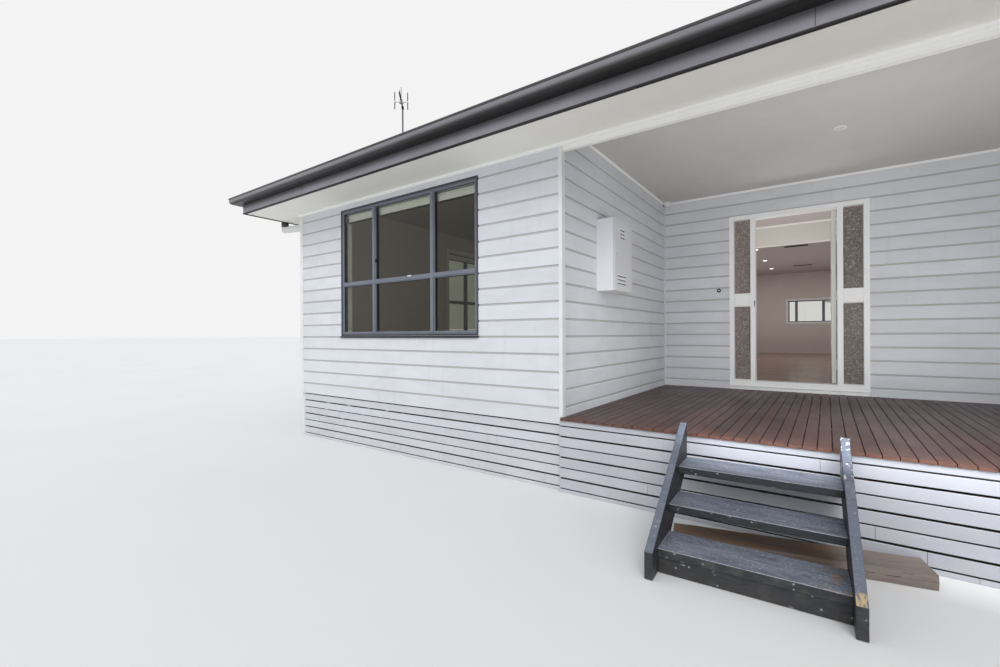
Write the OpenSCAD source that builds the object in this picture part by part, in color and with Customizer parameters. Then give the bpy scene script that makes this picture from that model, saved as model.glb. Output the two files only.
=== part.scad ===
// Single-storey weatherboard beach house with a recessed front porch between two equal bays.
// Origin: on the ground, under the middle of the front wall's outer face.
// +X to the right along the front, +Y into the house, +Z up. Millimetres.

/* [House] */
// Width of each front bay
bay_w = 3850; // [3400:50:4400]
// Width of the porch between the bays
porch_w = 3820; // [3400:20:4000]
// Depth of the house from front wall to rear wall
house_d = 13000; // [12900:100:18000]
// Depth of the porch from front wall to door wall
porch_d = 3000; // [2400:50:4000]
// Thickness of the walls
wall_t = 120; // [100:5:200]

/* [Levels] */
// Height of the deck above the ground
deck_h = 615; // [500:5:900]
// Rise from the deck to the floor inside
floor_step = 100; // [60:5:160]
// How far the wall boards reach below the deck
cladding_drop = 60; // [40:5:100]
// Height of the rooms
room_h = 2400; // [2300:50:2800]
// Height of the eave soffit above the deck
soffit_above_deck = 2280; // [2250:5:2330]
// Depth of the beam face that shows below the soffit over the porch
beam_drop = 60; // [30:5:100]
// Height of the porch ceiling above the deck
porch_ceiling_above_deck = 2465; // [2440:5:2480]

/* [Eaves and roof] */
// Width of the eaves from wall face to fascia face
eave_w = 510; // [400:10:600]
// Thickness of the soffit sheet
soffit_t = 10; // [6:1:16]
// Thickness of the fascia board
fascia_t = 20; // [16:1:40]
// Height of the fascia board
fascia_h = 205; // [180:5:240]
// How far the fascia reaches below the soffit
fascia_drop = 10; // [5:1:30]
// Width of the gutter
gutter_w = 120; // [90:5:150]
// Height of the gutter
gutter_h = 85; // [70:5:110]
// Thickness of the gutter's metal
gutter_t = 4; // [3:0.5:6]
// Radius of the gutter's rounded front
gutter_r = 45; // [20:5:60]
// How far the gutter's rim lies below the fascia's top
gutter_fall = 5; // [2:1:20]
// Roof pitch in degrees
roof_pitch = 22.5; // [15:0.5:27]
// Thickness of the roof sheeting with its battens
roof_t = 30; // [20:1:60]
// How far the roof reaches past the fascia into the gutter
roof_lap = 45; // [20:5:60]
// Width of each wing of the ridge and hip capping
capping_w = 150; // [100:10:250]
// Thickness of the capping
capping_t = 6; // [4:1:12]
// Thickness of the ceiling sheets
ceiling_t = 16; // [10:1:30]
// Distance of the beam under the ceiling inside, behind the front wall's face
ceiling_beam_in = 5500; // [4700:50:8000]
// Thickness of the beam under the ceiling
ceiling_beam_t = 120; // [60:5:300]
// Height of the beam under the ceiling
ceiling_beam_h = 333; // [150:1:450]

/* [Base] */
// Thickness of the base boards
base_t = 25; // [18:1:40]
// How far the base boards stand behind the wall face
base_setback = 10; // [5:1:30]
// How far the deck skirting stands in front of the wall face
skirt_proud = 28; // [22:1:60]
// Thickness of the deck skirting
skirt_t = 20; // [16:1:22]
// Thickness of the deck boards
deck_t = 22; // [18:1:40]
// How far the deck stands in front of its skirting
nosing = 15; // [5:1:30]
// Side of a bearer or a stump
stump_w = 100; // [80:5:140]
// Distance between bearers and between stumps, counted from the middle outwards
stump_pitch = 1600; // [1300:50:2000]
// Clearance between a row of bearers and the walls beside it
bearer_gap = 60; // [40:5:100]

/* [Porch beam and trims] */
// Depth of the porch beam, front to back
beam_d = 40; // [20:5:95]
// Width of a corner trim on each face
trim_w = 45; // [30:5:80]
// Thickness of a corner trim
trim_t = 14; // [12:1:18]
// Width of the porch corner's trim on the front wall
porch_trim_w = 10; // [8:1:60]
// Thickness of the porch corner's trim inside the porch
porch_trim_t = 24; // [12:1:30]

/* [Windows] */
// Width of a large window
win_w = 2110; // [1600:10:2400]
// Height of a large window
win_h = 1505; // [1200:5:1600]
// Height of a large window's sill above the floor
win_sill = 590; // [500:5:700]
// Width of the side lights, edge to bar centre
win_side_light = 600; // [400:10:700]
// Height of the transom's centre above the sill
win_transom = 610; // [400:10:800]
// Width of the dining window
dining_w = 1100; // [900:10:2000]
// Height of the dining window
dining_h = 670; // [500:10:1000]
// Height of the dining window's sill above the floor
dining_sill = 918; // [800:1:1100]
// Centre of the dining window, right of the middle
dining_x = -505; // [-800:1:600]
// Width of the dining window's side lights, edge to bar centre
dining_side_light = 217; // [150:1:400]
// Width of a window's outer frame
win_frame = 55; // [40:1:70]
// Width of a window's bars
win_bar = 50; // [30:1:70]
// Depth of a window frame
win_d = 75; // [60:1:95]
// How far a window frame stands proud of the wall
win_proud = 12; // [5:1:20]
// How far the glass lies behind the wall face
glass_in = 20; // [10:1:35]
// Thickness of the glass
glass_t = 6; // [4:1:12]
// Distance of a side window's centre from the nearer end wall, as built
side_win_in = 3800; // [3200:50:5000]

/* [Front door] */
// Left edge of the door frame, right of the porch's left wall
door_in = 810; // [500:10:1000]
// Width of the doorway
doorway_w = 812; // [760:1:900]
// Width of the glass of a sidelight
sidelight_w = 182; // [120:1:250]
// Width of the frame's members
door_member = 52; // [40:1:70]
// Height of the door frame's top above the deck
door_top = 2162; // [2140:1:2250]
// Height of the sill's top above the floor
sill_rise = 10; // [5:1:20]
// Height of the sill's underside above the deck
sill_low = 38; // [20:1:50]
// How far the door frame stands proud of the wall boards
door_proud = 15; // [5:1:30]
// Underside of the sidelights' middle panel above the deck
midrail_low = 1030; // [900:5:1100]
// Height of the sidelights' middle panel
midrail_h = 162; // [100:1:200]
// Height of the rail below the sidelights' glass, above the sill's underside
bottom_rail_h = 80; // [76:1:140]
// Thickness of the door leaf
leaf_t = 40; // [35:1:50]
// Clearance round the door leaf
leaf_gap = 6; // [5:0.5:8]
// Radius of a door hinge's knuckle
knuckle_r = 7; // [6:0.5:7.5]
// Length of one knuckle
knuckle_h = 34; // [25:1:50]
// Height of the door handle above the floor
handle_h = 1000; // [900:10:1100]
// Length of the door lever
lever_l = 120; // [90:5:150]

/* [Meter box] */
// Distance of the meter box behind the front wall's face
meter_in = 727; // [400:1:1200]
// Width of the meter box along the wall
meter_w = 460; // [300:5:600]
// Height of the meter box
meter_h = 690; // [500:5:900]
// Depth of the meter box with its cover
meter_d = 190; // [120:5:250]
// Height of the meter box above the deck
meter_above_deck = 1107; // [900:1:1300]
// Thickness of the meter box's sheet
meter_t = 4; // [3:0.5:8]
// Depth of the cover's rim
meter_rim = 22; // [15:1:40]
// Clearance between the box and its cover
meter_gap = 5; // [4:0.5:8]

/* [Steps] */
// Centre of the steps at the deck, right of the middle
stair_x = -466; // [-600:1:600]
// Turn of the steps about the right stringer's upper end, in degrees
stair_turn = 2.3; // [0:0.1:5]
// Rise from one tread to the next
step_rise = 159; // [145:1:165]
// Width between the stringers
stair_w = 850; // [700:10:1200]
// Depth from one tread's front to the next
going = 265; // [240:5:300]
// Depth of a tread
tread_d = 270; // [240:5:300]
// Clearance between the top tread and the skirting
tread_gap = 12; // [6:1:20]
// Thickness of a tread
tread_t = 45; // [30:1:60]
// Thickness of a stringer
stringer_t = 45; // [35:1:60]
// Depth of a stringer's plank, square to its slope
stringer_d = 240; // [200:5:290]
// Height of a stringer's upper end above the deck
stringer_up = 78; // [40:1:120]
// Height of a stringer's front cut
stringer_toe = 145; // [100:5:200]
// How far a stringer's foot reaches past the bottom tread
stringer_reach = 94; // [60:1:140]
// Thickness of the bottom riser
riser_t = 20; // [16:1:30]
// How far the bottom riser stands behind the tread's front
riser_back = 15; // [5:1:40]
// Length of the sleeper behind the steps
sleeper_l = 1257; // [900:1:1600]
// Width of the sleeper
sleeper_d = 215; // [150:1:260]
// Height of the sleeper
sleeper_h = 78; // [50:1:100]
// How far the sleeper's right end reaches past the steps
sleeper_past = 304; // [200:1:500]
// Turn of the sleeper about its rear right corner, which touches the skirting, in degrees
sleeper_turn = 13; // [0:0.5:15]

/* [Rainwater and antenna] */
// Radius of a downpipe
pipe_r = 45; // [35:1:55]
// Clearance between a downpipe and the wall
pipe_gap = 15; // [10:1:30]
// Distance of a downpipe from the end of the side wall
pipe_in = 90; // [60:1:200]
// Level of the swan neck's upper bend below the soffit
neck_drop = 95; // [60:5:150]
// Height of the swan neck
neck_h = 35; // [20:5:200]
// Distance of the antenna mast from the left wall's face
mast_in = 633; // [400:1:800]
// Distance of the antenna mast behind the front wall's face
mast_back = 1206; // [1100:1:3000]
// Height of the antenna mast above the soffit
mast_up = 1750; // [1400:10:2400]
// Radius of the antenna mast
mast_r = 16; // [12:1:25]
// Length of the antenna's boom in front of its mast
boom_l = 200; // [150:10:600]
// Distance between the antenna's outer rods
rod_span = 180; // [120:10:400]
// Height of one of the antenna's rods
rod_l = 240; // [160:10:500]
// How far the middle rod stands above the outer rods
rod_up = 75; // [20:1:100]
// Radius of the antenna's rods
rod_r = 5; // [4:0.5:8]

/* [Porch fittings] */
// Radius of the downlight
light_r = 50; // [35:1:80]
// Depth of the downlight below the ceiling
light_t = 8; // [4:1:20]
// Radius of the doorbell
bell_r = 25; // [18:1:40]
// Depth of the doorbell
bell_t = 18; // [10:1:30]
// Distance of the doorbell from the door frame
bell_out = 121; // [80:1:250]
// Height of the doorbell above the deck
bell_up = 1244; // [1000:1:1400]
// Radius of the sensor ball in the porch corner
sensor_r = 45; // [30:1:48]
// Distance of the sensor's centre below the porch ceiling
sensor_drop = 52; // [50:1:200]

/* [Hidden] */

// Overlap that lets a cutting solid pass cleanly through what it cuts
cut = 10;
// Running clearance between two knuckles of one hinge, and between a knuckle and the face behind it
knuckle_gap = 0.4;
knuckle_clear = 1;
// Facets of round parts
round_fn = 48;

house_w = 2 * bay_w + porch_w;
half_w = house_w / 2;
porch_half = porch_w / 2;
mid_y = house_d / 2;

floor_h = deck_h + floor_step;
wall_low = deck_h - cladding_drop;
wall_top = floor_h + room_h;
soffit_h = deck_h + soffit_above_deck;
beam_low = soffit_h - beam_drop;
porch_ceiling_h = deck_h + porch_ceiling_above_deck;

fascia_low = soffit_h - fascia_drop;
fascia_top = fascia_low + fascia_h;
gutter_top = fascia_top - gutter_fall;
gutter_low = gutter_top - gutter_h;

// Half width and end lines of the roof in plan
roof_half = half_w + eave_w + roof_lap;
roof_y0 = -eave_w - roof_lap;
roof_y1 = house_d + eave_w + roof_lap;
roof_rise = roof_half * tan(roof_pitch);
roof_v = roof_t / cos(roof_pitch);

// Door frame and doorway
frame_left = -porch_half + door_in;
frame_w = 4 * door_member + 2 * sidelight_w + doorway_w;
frame_right = frame_left + frame_w;
doorway_left = frame_left + 2 * door_member + sidelight_w;
doorway_right = doorway_left + doorway_w;
frame_low = deck_h + sill_low;
frame_top = deck_h + door_top;
sill_top = floor_h + sill_rise;
head_low = frame_top - door_member;
door_inner_y = porch_d + wall_t;

// Door leaf and its hinge pin: the pin stands clear of the room face, in the middle of the gap
leaf_w = doorway_w - 2 * leaf_gap;
leaf_h = head_low - sill_top - 2 * leaf_gap;
pin_x = doorway_right - leaf_gap / 2;
pin_y = door_inner_y + knuckle_r + knuckle_clear;
door_hinge_shares = [0.1, 0.5, 0.88];
hinge_heights = [for (share = door_hinge_shares) sill_top + leaf_gap + share * leaf_h];

// Windows
win_low = floor_h + win_sill;
bay_mid = porch_half + bay_w / 2;

// Steps
skirt_y = -skirt_proud;
deck_y = skirt_y - nosing;
bottom_tread_top = deck_h - 3 * step_rise;
stair_left = stair_x - stair_w / 2;
stair_right = stair_x + stair_w / 2;
top_tread_y = skirt_y - tread_gap - tread_d;
toe_y = top_tread_y - 2 * going - stringer_reach;
stringer_slope = (deck_h + stringer_up - stringer_toe) / (deck_y - toe_y);

// Meter box
meter_low = deck_h + meter_above_deck;
meter_front = -porch_half + meter_d - meter_rim - meter_gap;
meter_pin_x = meter_front + meter_gap / 2;
meter_pin_r = 4;
meter_knuckle_h = 30;
meter_flap = 6;
meter_pin_y = meter_in + meter_w + meter_pin_r + knuckle_clear;
meter_hinge_shares = [0.15, 0.8];
meter_hinges = [for (share = meter_hinge_shares) meter_low + share * meter_h];

wall_white = [0.86, 0.87, 0.89];
trim_white = [0.93, 0.93, 0.92];
charcoal = [0.20, 0.20, 0.22];
frame_grey = [0.22, 0.24, 0.29];
step_grey = [0.27, 0.29, 0.34];
deck_red = [0.30, 0.17, 0.14];
glass_tint = [0.55, 0.62, 0.66, 0.5];

// A box from its lowest corner to its highest corner
module box(low, high) {
    translate(low) cube([high[0] - low[0], high[1] - low[1], high[2] - low[2]]);
}

// Copies across the house's middle plane
module both_sides() {
    children();
    mirror([1, 0, 0]) children();
}

// Puts children, drawn with the outer wall face at Y = 0, on one of the four walls
module on_front(x, z) { translate([x, 0, z]) children(); }
module on_rear(x, z) { translate([x, house_d, z]) rotate([0, 0, 180]) children(); }
module on_left(y, z) { translate([-half_w, y, z]) rotate([0, 0, -90]) children(); }
module on_right(y, z) { translate([half_w, y, z]) rotate([0, 0, 90]) children(); }

module at_front_windows() {
    for (side = [-1, 1]) on_front(side * bay_mid, win_low) children();
}

module at_side_windows() {
    for (y = [side_win_in, house_d - side_win_in]) {
        on_left(y, win_low) children();
        on_right(y, win_low) children();
    }
}

module at_rear_windows() {
    for (side = [-1, 1]) on_rear(side * bay_mid, win_low) children();
}

// The dining window's centre is measured from the front, so its sign turns on the rear wall
module at_dining_window() {
    translate([dining_x, house_d, floor_h + dining_sill]) rotate([0, 0, 180]) children();
}

// Hole through a wall for a window of width w and height h
module window_hole(w, h) {
    translate([-w / 2, -cut, 0]) cube([w, wall_t + 2 * cut, h]);
}

// Frame with two upright bars and, where transom is over zero, one cross bar
module window_frame(w, h, side_light, transom) {
    difference() {
        translate([-w / 2, -win_proud, 0]) cube([w, win_d, h]);
        translate([-w / 2 + win_frame, -win_proud - cut, win_frame])
            cube([w - 2 * win_frame, win_d + 2 * cut, h - 2 * win_frame]);
    }
    for (side = [-1, 1])
        translate([side * (w / 2 - side_light) - win_bar / 2, -win_proud / 2, win_frame / 2])
            cube([win_bar, glass_in + win_proud / 2, h - win_frame]);
    if (transom > 0)
        translate([-w / 2 + win_frame / 2, -win_proud / 2, transom - win_bar / 2])
            cube([w - win_frame, glass_in + win_proud / 2, win_bar]);
}

// One sheet of glass behind the bars of a window
module window_pane(w, h) {
    translate([-w / 2 + win_frame, glass_in, win_frame]) cube([w - 2 * win_frame, glass_t, h - 2 * win_frame]);
}

module large_frame() { window_frame(win_w, win_h, win_side_light, win_transom); }
module large_pane() { window_pane(win_w, win_h); }
module dining_frame() { window_frame(dining_w, dining_h, dining_side_light, 0); }
module dining_pane() { window_pane(dining_w, dining_h); }

// Frame of boards of height h round the house, between two distances outside the walls
module eave_ring(inner, outer, z, h) {
    difference() {
        box([-half_w - outer, -outer, z], [half_w + outer, house_d + outer, z + h]);
        box([-half_w - inner, -inner, z - cut], [half_w + inner, house_d + inner, z + h + cut]);
    }
}

// Places from low to high: both ends, and between them one pitch apart outwards from the middle
function places(low, high) =
    let (half = (high - low) / 2, each_way = max(0, floor((half - stump_pitch / 2) / stump_pitch)))
    concat([low], [for (i = [-each_way:each_way]) (low + high) / 2 + i * stump_pitch], [high]);

// One bearer on its stumps, from x0 to x1, with its top at the given level
module bearer_row(x0, x1, y, top) {
    box([x0, y - stump_w / 2, top - stump_w], [x1, y + stump_w / 2, top]);
    for (x = places(x0 + stump_w / 2, x1 - stump_w / 2))
        translate([x - stump_w / 2, y - stump_w / 2, 0]) cube([stump_w, stump_w, top - stump_w / 2]);
}

// The deck's front row stands against the skirting, the others behind the walls and base boards
module stumps_and_bearers() {
    inset = bearer_gap + stump_w / 2;
    house_x = half_w - base_setback - base_t - bearer_gap;
    porch_x = porch_half - bearer_gap;
    color([0.45, 0.38, 0.3]) {
        for (y = places(door_inner_y + inset, house_d - wall_t - inset))
            bearer_row(-house_x, house_x, y, wall_low);
        for (y = places(base_setback + base_t + inset, porch_d - inset))
            both_sides() bearer_row(-house_x, -porch_half - bearer_gap, y, wall_low);
        for (y = places(skirt_y + skirt_t + stump_w / 2, porch_d - inset))
            bearer_row(-porch_x, porch_x, y, deck_h - deck_t);
    }
}

// Base boards round the house, open where the deck stands
module base_boards() {
    color(wall_white) difference() {
        eave_ring(-base_setback - base_t, -base_setback, 0, wall_low);
        box([-porch_half, -cut, -cut], [porch_half, base_setback + base_t + cut, wall_low + cut]);
    }
}

module deck_skirting() {
    color(wall_white) box([-porch_half, skirt_y, 0], [porch_half, skirt_y + skirt_t, deck_h - deck_t]);
}

module floor() {
    in_x = half_w - wall_t;
    porch_x = porch_half + wall_t;
    color([0.45, 0.33, 0.25]) translate([0, 0, wall_low]) linear_extrude(floor_h - wall_low)
        polygon([[-in_x, wall_t], [-porch_x, wall_t], [-porch_x, door_inner_y], [porch_x, door_inner_y],
            [porch_x, wall_t], [in_x, wall_t], [in_x, house_d - wall_t], [-in_x, house_d - wall_t]]);
}

// Outer wall of one bay, drawn on the left
module bay_wall() {
    color(wall_white) difference() {
        box([-half_w, 0, wall_low], [-porch_half, wall_t, wall_top]);
        on_front(-bay_mid, win_low) window_hole(win_w, win_h);
    }
}

module front_wall_left() { bay_wall(); }
module front_wall_right() { mirror([1, 0, 0]) bay_wall(); }

// Side wall of the porch, drawn on the left
module porch_wall() {
    color(wall_white) box([-porch_half - wall_t, wall_t, wall_low], [-porch_half, door_inner_y, wall_top]);
}

module porch_wall_left() { porch_wall(); }
module porch_wall_right() { mirror([1, 0, 0]) porch_wall(); }

module door_wall_left() {
    color(wall_white) box([-porch_half, porch_d, wall_low], [frame_left, door_inner_y, wall_top]);
}

module door_wall_right() {
    color(wall_white) box([frame_right, porch_d, wall_low], [porch_half, door_inner_y, wall_top]);
}

module door_wall_head() {
    color(wall_white) box([frame_left, porch_d, frame_top], [frame_right, door_inner_y, wall_top]);
}

// Long side wall, drawn on the left
module side_wall() {
    color(wall_white) difference() {
        box([-half_w, wall_t, wall_low], [-half_w + wall_t, house_d - wall_t, wall_top]);
        for (y = [side_win_in, house_d - side_win_in]) on_left(y, win_low) window_hole(win_w, win_h);
    }
}

module left_wall() { side_wall(); }
module right_wall() { mirror([1, 0, 0]) side_wall(); }

module rear_wall() {
    color(wall_white) difference() {
        box([-half_w, house_d - wall_t, wall_low], [half_w, house_d, wall_top]);
        at_rear_windows() window_hole(win_w, win_h);
        at_dining_window() window_hole(dining_w, dining_h);
    }
}

module ceiling() {
    color(trim_white) translate([0, 0, wall_top]) linear_extrude(ceiling_t)
        polygon([[-half_w, 0], [-porch_half, 0], [-porch_half, porch_d], [porch_half, porch_d],
            [porch_half, 0], [half_w, 0], [half_w, house_d], [-half_w, house_d]]);
}

// Beam that hangs under the ceiling from side wall to side wall
module ceiling_beam() {
    in_x = half_w - wall_t;
    color(trim_white) box([-in_x, ceiling_beam_in, wall_top - ceiling_beam_h],
        [in_x, ceiling_beam_in + ceiling_beam_t, wall_top]);
}

module porch_ceiling() {
    color(trim_white) box([-porch_half, beam_d, porch_ceiling_h],
        [porch_half, porch_d, porch_ceiling_h + ceiling_t]);
}

module porch_beam() {
    color(trim_white) box([-porch_half, 0, beam_low], [porch_half, beam_d, wall_top]);
}

// Plan of the front slope, a triangle, and of the left slope, a trapezium
front_plan = [[-roof_half, roof_y0], [roof_half, roof_y0], [0, roof_y0 + roof_half]];
left_plan = [[-roof_half, roof_y0], [0, roof_y0 + roof_half], [0, roof_y1 - roof_half], [-roof_half, roof_y1]];

// A flat layer that rises along local +Y from the fascia's outer top edge
module slope_layer(lift, thick) {
    span = roof_y1 - roof_y0;
    rotate([roof_pitch, 0, 0]) translate([-span, -span, lift]) cube([2 * span, 2 * span, thick]);
}

module front_layer(lift, thick) {
    translate([0, -eave_w, fascia_top]) slope_layer(lift, thick);
}

module left_layer(lift, thick) {
    translate([-half_w - eave_w, mid_y, fascia_top]) rotate([0, 0, -90]) slope_layer(lift, thick);
}

// Upright prism that reaches from the eaves to twice as high as the ridge
module prism(plan) {
    translate([0, 0, soffit_h]) linear_extrude(2 * roof_rise) polygon(plan);
}

module front_slope() {
    intersection() {
        prism(front_plan);
        front_layer(0, roof_t);
    }
}

module left_slope() {
    intersection() {
        prism(left_plan);
        left_layer(0, roof_t);
    }
}

// Turns children from the front to the rear about the house's middle
module turned() { translate([0, house_d, 0]) rotate([0, 0, 180]) children(); }

module roof_front() { color(charcoal) front_slope(); }
module roof_rear() { color(charcoal) turned() front_slope(); }
module roof_left() { color(charcoal) left_slope(); }
module roof_right() { color(charcoal) turned() left_slope(); }

// Strips in plan, one capping wing wide on each side of the left front hip and of the ridge
hip_strip = [[-roof_half, roof_y0], [-roof_half + capping_w * sqrt(2), roof_y0],
    [0, roof_y0 + roof_half - capping_w * sqrt(2)], [0, roof_y0 + roof_half]];
hip_strip_left = [[-roof_half, roof_y0], [0, roof_y0 + roof_half],
    [-capping_w, roof_y0 + roof_half + capping_w * (sqrt(2) - 1)], [-roof_half, roof_y0 + capping_w * sqrt(2)]];
ridge_strip = [[-capping_w, roof_y0 + roof_half - capping_w], [0, roof_y0 + roof_half],
    [0, mid_y], [-capping_w, mid_y]];

// Capping on the front left quarter of the roof
module capping_quarter() {
    intersection() {
        prism(hip_strip);
        front_layer(roof_t, capping_t);
    }
    intersection() {
        union() {
            prism(hip_strip_left);
            prism(ridge_strip);
        }
        left_layer(roof_t, capping_t);
    }
}

module roof_capping() {
    color(charcoal) {
        both_sides() capping_quarter();
        turned() both_sides() capping_quarter();
    }
}

module soffit() { color(trim_white) eave_ring(0, eave_w - fascia_t, soffit_h, soffit_t); }

module fascia() { color(charcoal) eave_ring(eave_w - fascia_t, eave_w, fascia_low, fascia_h); }

// Section of the gutter: a channel with a rounded front, fascia face at 0, outwards to the right
module gutter_section() {
    steps = 6;
    outer_arc = [for (i = [0:steps]) [gutter_w - gutter_r + gutter_r * sin(90 * i / steps),
        gutter_r - gutter_r * cos(90 * i / steps)]];
    inner_r = gutter_r - gutter_t;
    inner_arc = [for (i = [steps:-1:0]) [gutter_w - gutter_r + inner_r * sin(90 * i / steps),
        gutter_r - inner_r * cos(90 * i / steps)]];
    polygon(concat([[0, gutter_h], [0, 0]], outer_arc, [[gutter_w, gutter_h], [gutter_w - gutter_t, gutter_h]],
        inner_arc, [[gutter_t, gutter_t], [gutter_t, gutter_h]]));
}

// Mitred length of gutter along a wall of the given length, drawn in front of the wall face
module gutter_run(wall_l) {
    half_l = wall_l / 2 + eave_w;
    intersection() {
        translate([-half_l - gutter_w, -eave_w, gutter_low]) rotate([90, 0, 90]) mirror([1, 0, 0])
            linear_extrude(2 * (half_l + gutter_w)) gutter_section();
        translate([0, 0, gutter_low - cut]) linear_extrude(gutter_h + 2 * cut)
            polygon([[-half_l, -eave_w], [half_l, -eave_w],
                [half_l + gutter_w, -eave_w - gutter_w], [-half_l - gutter_w, -eave_w - gutter_w]]);
    }
}

module gutter() {
    color(charcoal) {
        on_front(0, 0) gutter_run(house_w);
        on_rear(0, 0) gutter_run(house_w);
        on_left(mid_y, 0) gutter_run(house_d);
        on_right(mid_y, 0) gutter_run(house_d);
    }
}

// Downpipe at the front left corner with its swan neck under the eave
module downpipe() {
    outlet_x = -half_w - eave_w - gutter_w / 2;
    wall_x = -half_w - pipe_r - pipe_gap;
    upper_z = soffit_h - neck_drop;
    lower_z = upper_z - neck_h;
    neck_run = wall_x - outlet_x;
    neck_l = sqrt(neck_run * neck_run + neck_h * neck_h);
    clip_in = 300;
    clip_h = 30;
    translate([outlet_x, pipe_in, upper_z]) cylinder(r = pipe_r, h = gutter_low - upper_z, $fn = round_fn);
    translate([outlet_x, pipe_in, upper_z]) sphere(r = pipe_r, $fn = round_fn);
    translate([outlet_x, pipe_in, upper_z]) rotate([0, 90 + atan(neck_h / neck_run), 0])
        cylinder(r = pipe_r, h = neck_l, $fn = round_fn);
    translate([wall_x, pipe_in, lower_z]) sphere(r = pipe_r, $fn = round_fn);
    translate([wall_x, pipe_in, 0]) cylinder(r = pipe_r, h = lower_z, $fn = round_fn);
    for (z = [wall_low + clip_in, lower_z - clip_in])
        box([wall_x, pipe_in - pipe_r / 2, z], [-half_w, pipe_in + pipe_r / 2, z + clip_h]);
}

module downpipes() {
    color(trim_white) {
        both_sides() downpipe();
        turned() both_sides() downpipe();
    }
}

// Angle on an outer corner of the house, drawn at the front left
module corner_trim() {
    box([-half_w - trim_t, -trim_t, wall_low], [-half_w + trim_w, 0, soffit_h]);
    box([-half_w - trim_t, -trim_t, wall_low], [-half_w, trim_w, soffit_h]);
}

// Stop on the porch's front left corner, kept above the deck and below the beam inside the porch
module porch_trim() {
    in_x = -porch_half + porch_trim_t;
    box([-porch_half - porch_trim_w, -trim_t, wall_low], [-porch_half, 0, soffit_h]);
    box([-porch_half, -trim_t, deck_h], [in_x, 0, soffit_h]);
    box([-porch_half, 0, deck_h], [in_x, trim_w, beam_low]);
}

module corner_trims() {
    color(trim_white) {
        both_sides() {
            corner_trim();
            porch_trim();
        }
        turned() both_sides() corner_trim();
    }
}

module front_windows() { color(frame_grey) at_front_windows() large_frame(); }
module side_windows() { color(frame_grey) at_side_windows() large_frame(); }

module rear_windows() {
    color(frame_grey) {
        at_rear_windows() large_frame();
        at_dining_window() dining_frame();
    }
}

module window_glass() {
    color(glass_tint) {
        at_front_windows() large_pane();
        at_side_windows() large_pane();
        at_rear_windows() large_pane();
        at_dining_window() dining_pane();
    }
}

// Lower and upper opening beside the doorway, x0 its left edge
module sidelight_holes(x0) {
    y0 = porch_d - door_proud - cut;
    y1 = door_inner_y + cut;
    box([x0, y0, frame_low + bottom_rail_h], [x0 + sidelight_w, y1, deck_h + midrail_low]);
    box([x0, y0, deck_h + midrail_low + midrail_h], [x0 + sidelight_w, y1, head_low]);
}

// Left edges of the two sidelights' glass
sidelight_x = [frame_left + door_member, doorway_right + door_member];

// The knuckles above and below the leaf's knuckle, each with its flap on the frame's room face
module frame_knuckles(z) {
    for (low = [z - knuckle_h - knuckle_gap, z + knuckle_h + knuckle_gap]) {
        translate([pin_x, pin_y, low]) cylinder(r = knuckle_r, h = knuckle_h, $fn = round_fn);
        box([pin_x, door_inner_y, low], [pin_x + knuckle_r, pin_y, low + knuckle_h]);
    }
}

module door_frame() {
    color(trim_white) {
        difference() {
            box([frame_left, porch_d - door_proud, frame_low], [frame_right, door_inner_y, frame_top]);
            for (x = sidelight_x) sidelight_holes(x);
            box([doorway_left, porch_d - door_proud - cut, sill_top], [doorway_right, door_inner_y + cut, head_low]);
        }
        box([frame_left, porch_d, wall_low], [frame_right, door_inner_y, frame_low]);
        for (z = hinge_heights) frame_knuckles(z);
    }
}

module sidelight_glass() {
    mid_y0 = porch_d + wall_t / 3;
    color(glass_tint) for (x = sidelight_x) intersection() {
        sidelight_holes(x);
        box([x, mid_y0, frame_low], [x + sidelight_w, mid_y0 + glass_t, frame_top]);
    }
}

// The leaf stands open at a right angle to the door wall, as the photograph shows it
leaf_flap_t = 2;
leaf_x1 = pin_x - knuckle_r - knuckle_clear;
leaf_x0 = leaf_x1 - leaf_t;
leaf_y0 = pin_y + leaf_gap / 2;
leaf_low = sill_top + leaf_gap;

module door_leaf() {
    color(trim_white) {
        box([leaf_x0, leaf_y0, leaf_low], [leaf_x1, leaf_y0 + leaf_w, leaf_low + leaf_h]);
        for (z = hinge_heights) {
            translate([pin_x, pin_y, z]) cylinder(r = knuckle_r, h = knuckle_h, $fn = round_fn);
            box([leaf_x1, leaf_y0, z], [pin_x, leaf_y0 + leaf_flap_t, z + knuckle_h]);
        }
    }
}

// Rose, neck and lever on the outer face of the leaf, drawn at its own origin, outwards along -X
module lever_set() {
    rose_r = 27;
    rose_t = 8;
    neck_r = 9;
    neck_l = 50;
    lever_h = 20;
    lever_t = 12;
    rotate([0, -90, 0]) cylinder(r = rose_r, h = rose_t, $fn = round_fn);
    rotate([0, -90, 0]) cylinder(r = neck_r, h = neck_l, $fn = round_fn);
    translate([-neck_l - lever_t / 2, -lever_l, -lever_h / 2]) cube([lever_t, lever_l + neck_r, lever_h]);
}

module door_handle() {
    backset = 60;
    leaf_mid_x = (leaf_x0 + leaf_x1) / 2;
    color([0.7, 0.7, 0.72]) {
        translate([leaf_x0, leaf_y0 + leaf_w - backset, floor_h + handle_h]) lever_set();
        translate([leaf_x1, leaf_y0 + leaf_w - backset, floor_h + handle_h]) mirror([1, 0, 0]) lever_set();
    }
}

// Two knuckles of a meter box hinge, held by a flap that reaches dx along X
module meter_knuckle(z, dx) {
    translate([meter_pin_x, meter_pin_y, z]) cylinder(r = meter_pin_r, h = meter_knuckle_h, $fn = round_fn);
    box([min(meter_pin_x, meter_pin_x + dx), meter_in + meter_w, z],
        [max(meter_pin_x, meter_pin_x + dx), meter_pin_y, z + meter_knuckle_h]);
}

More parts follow.
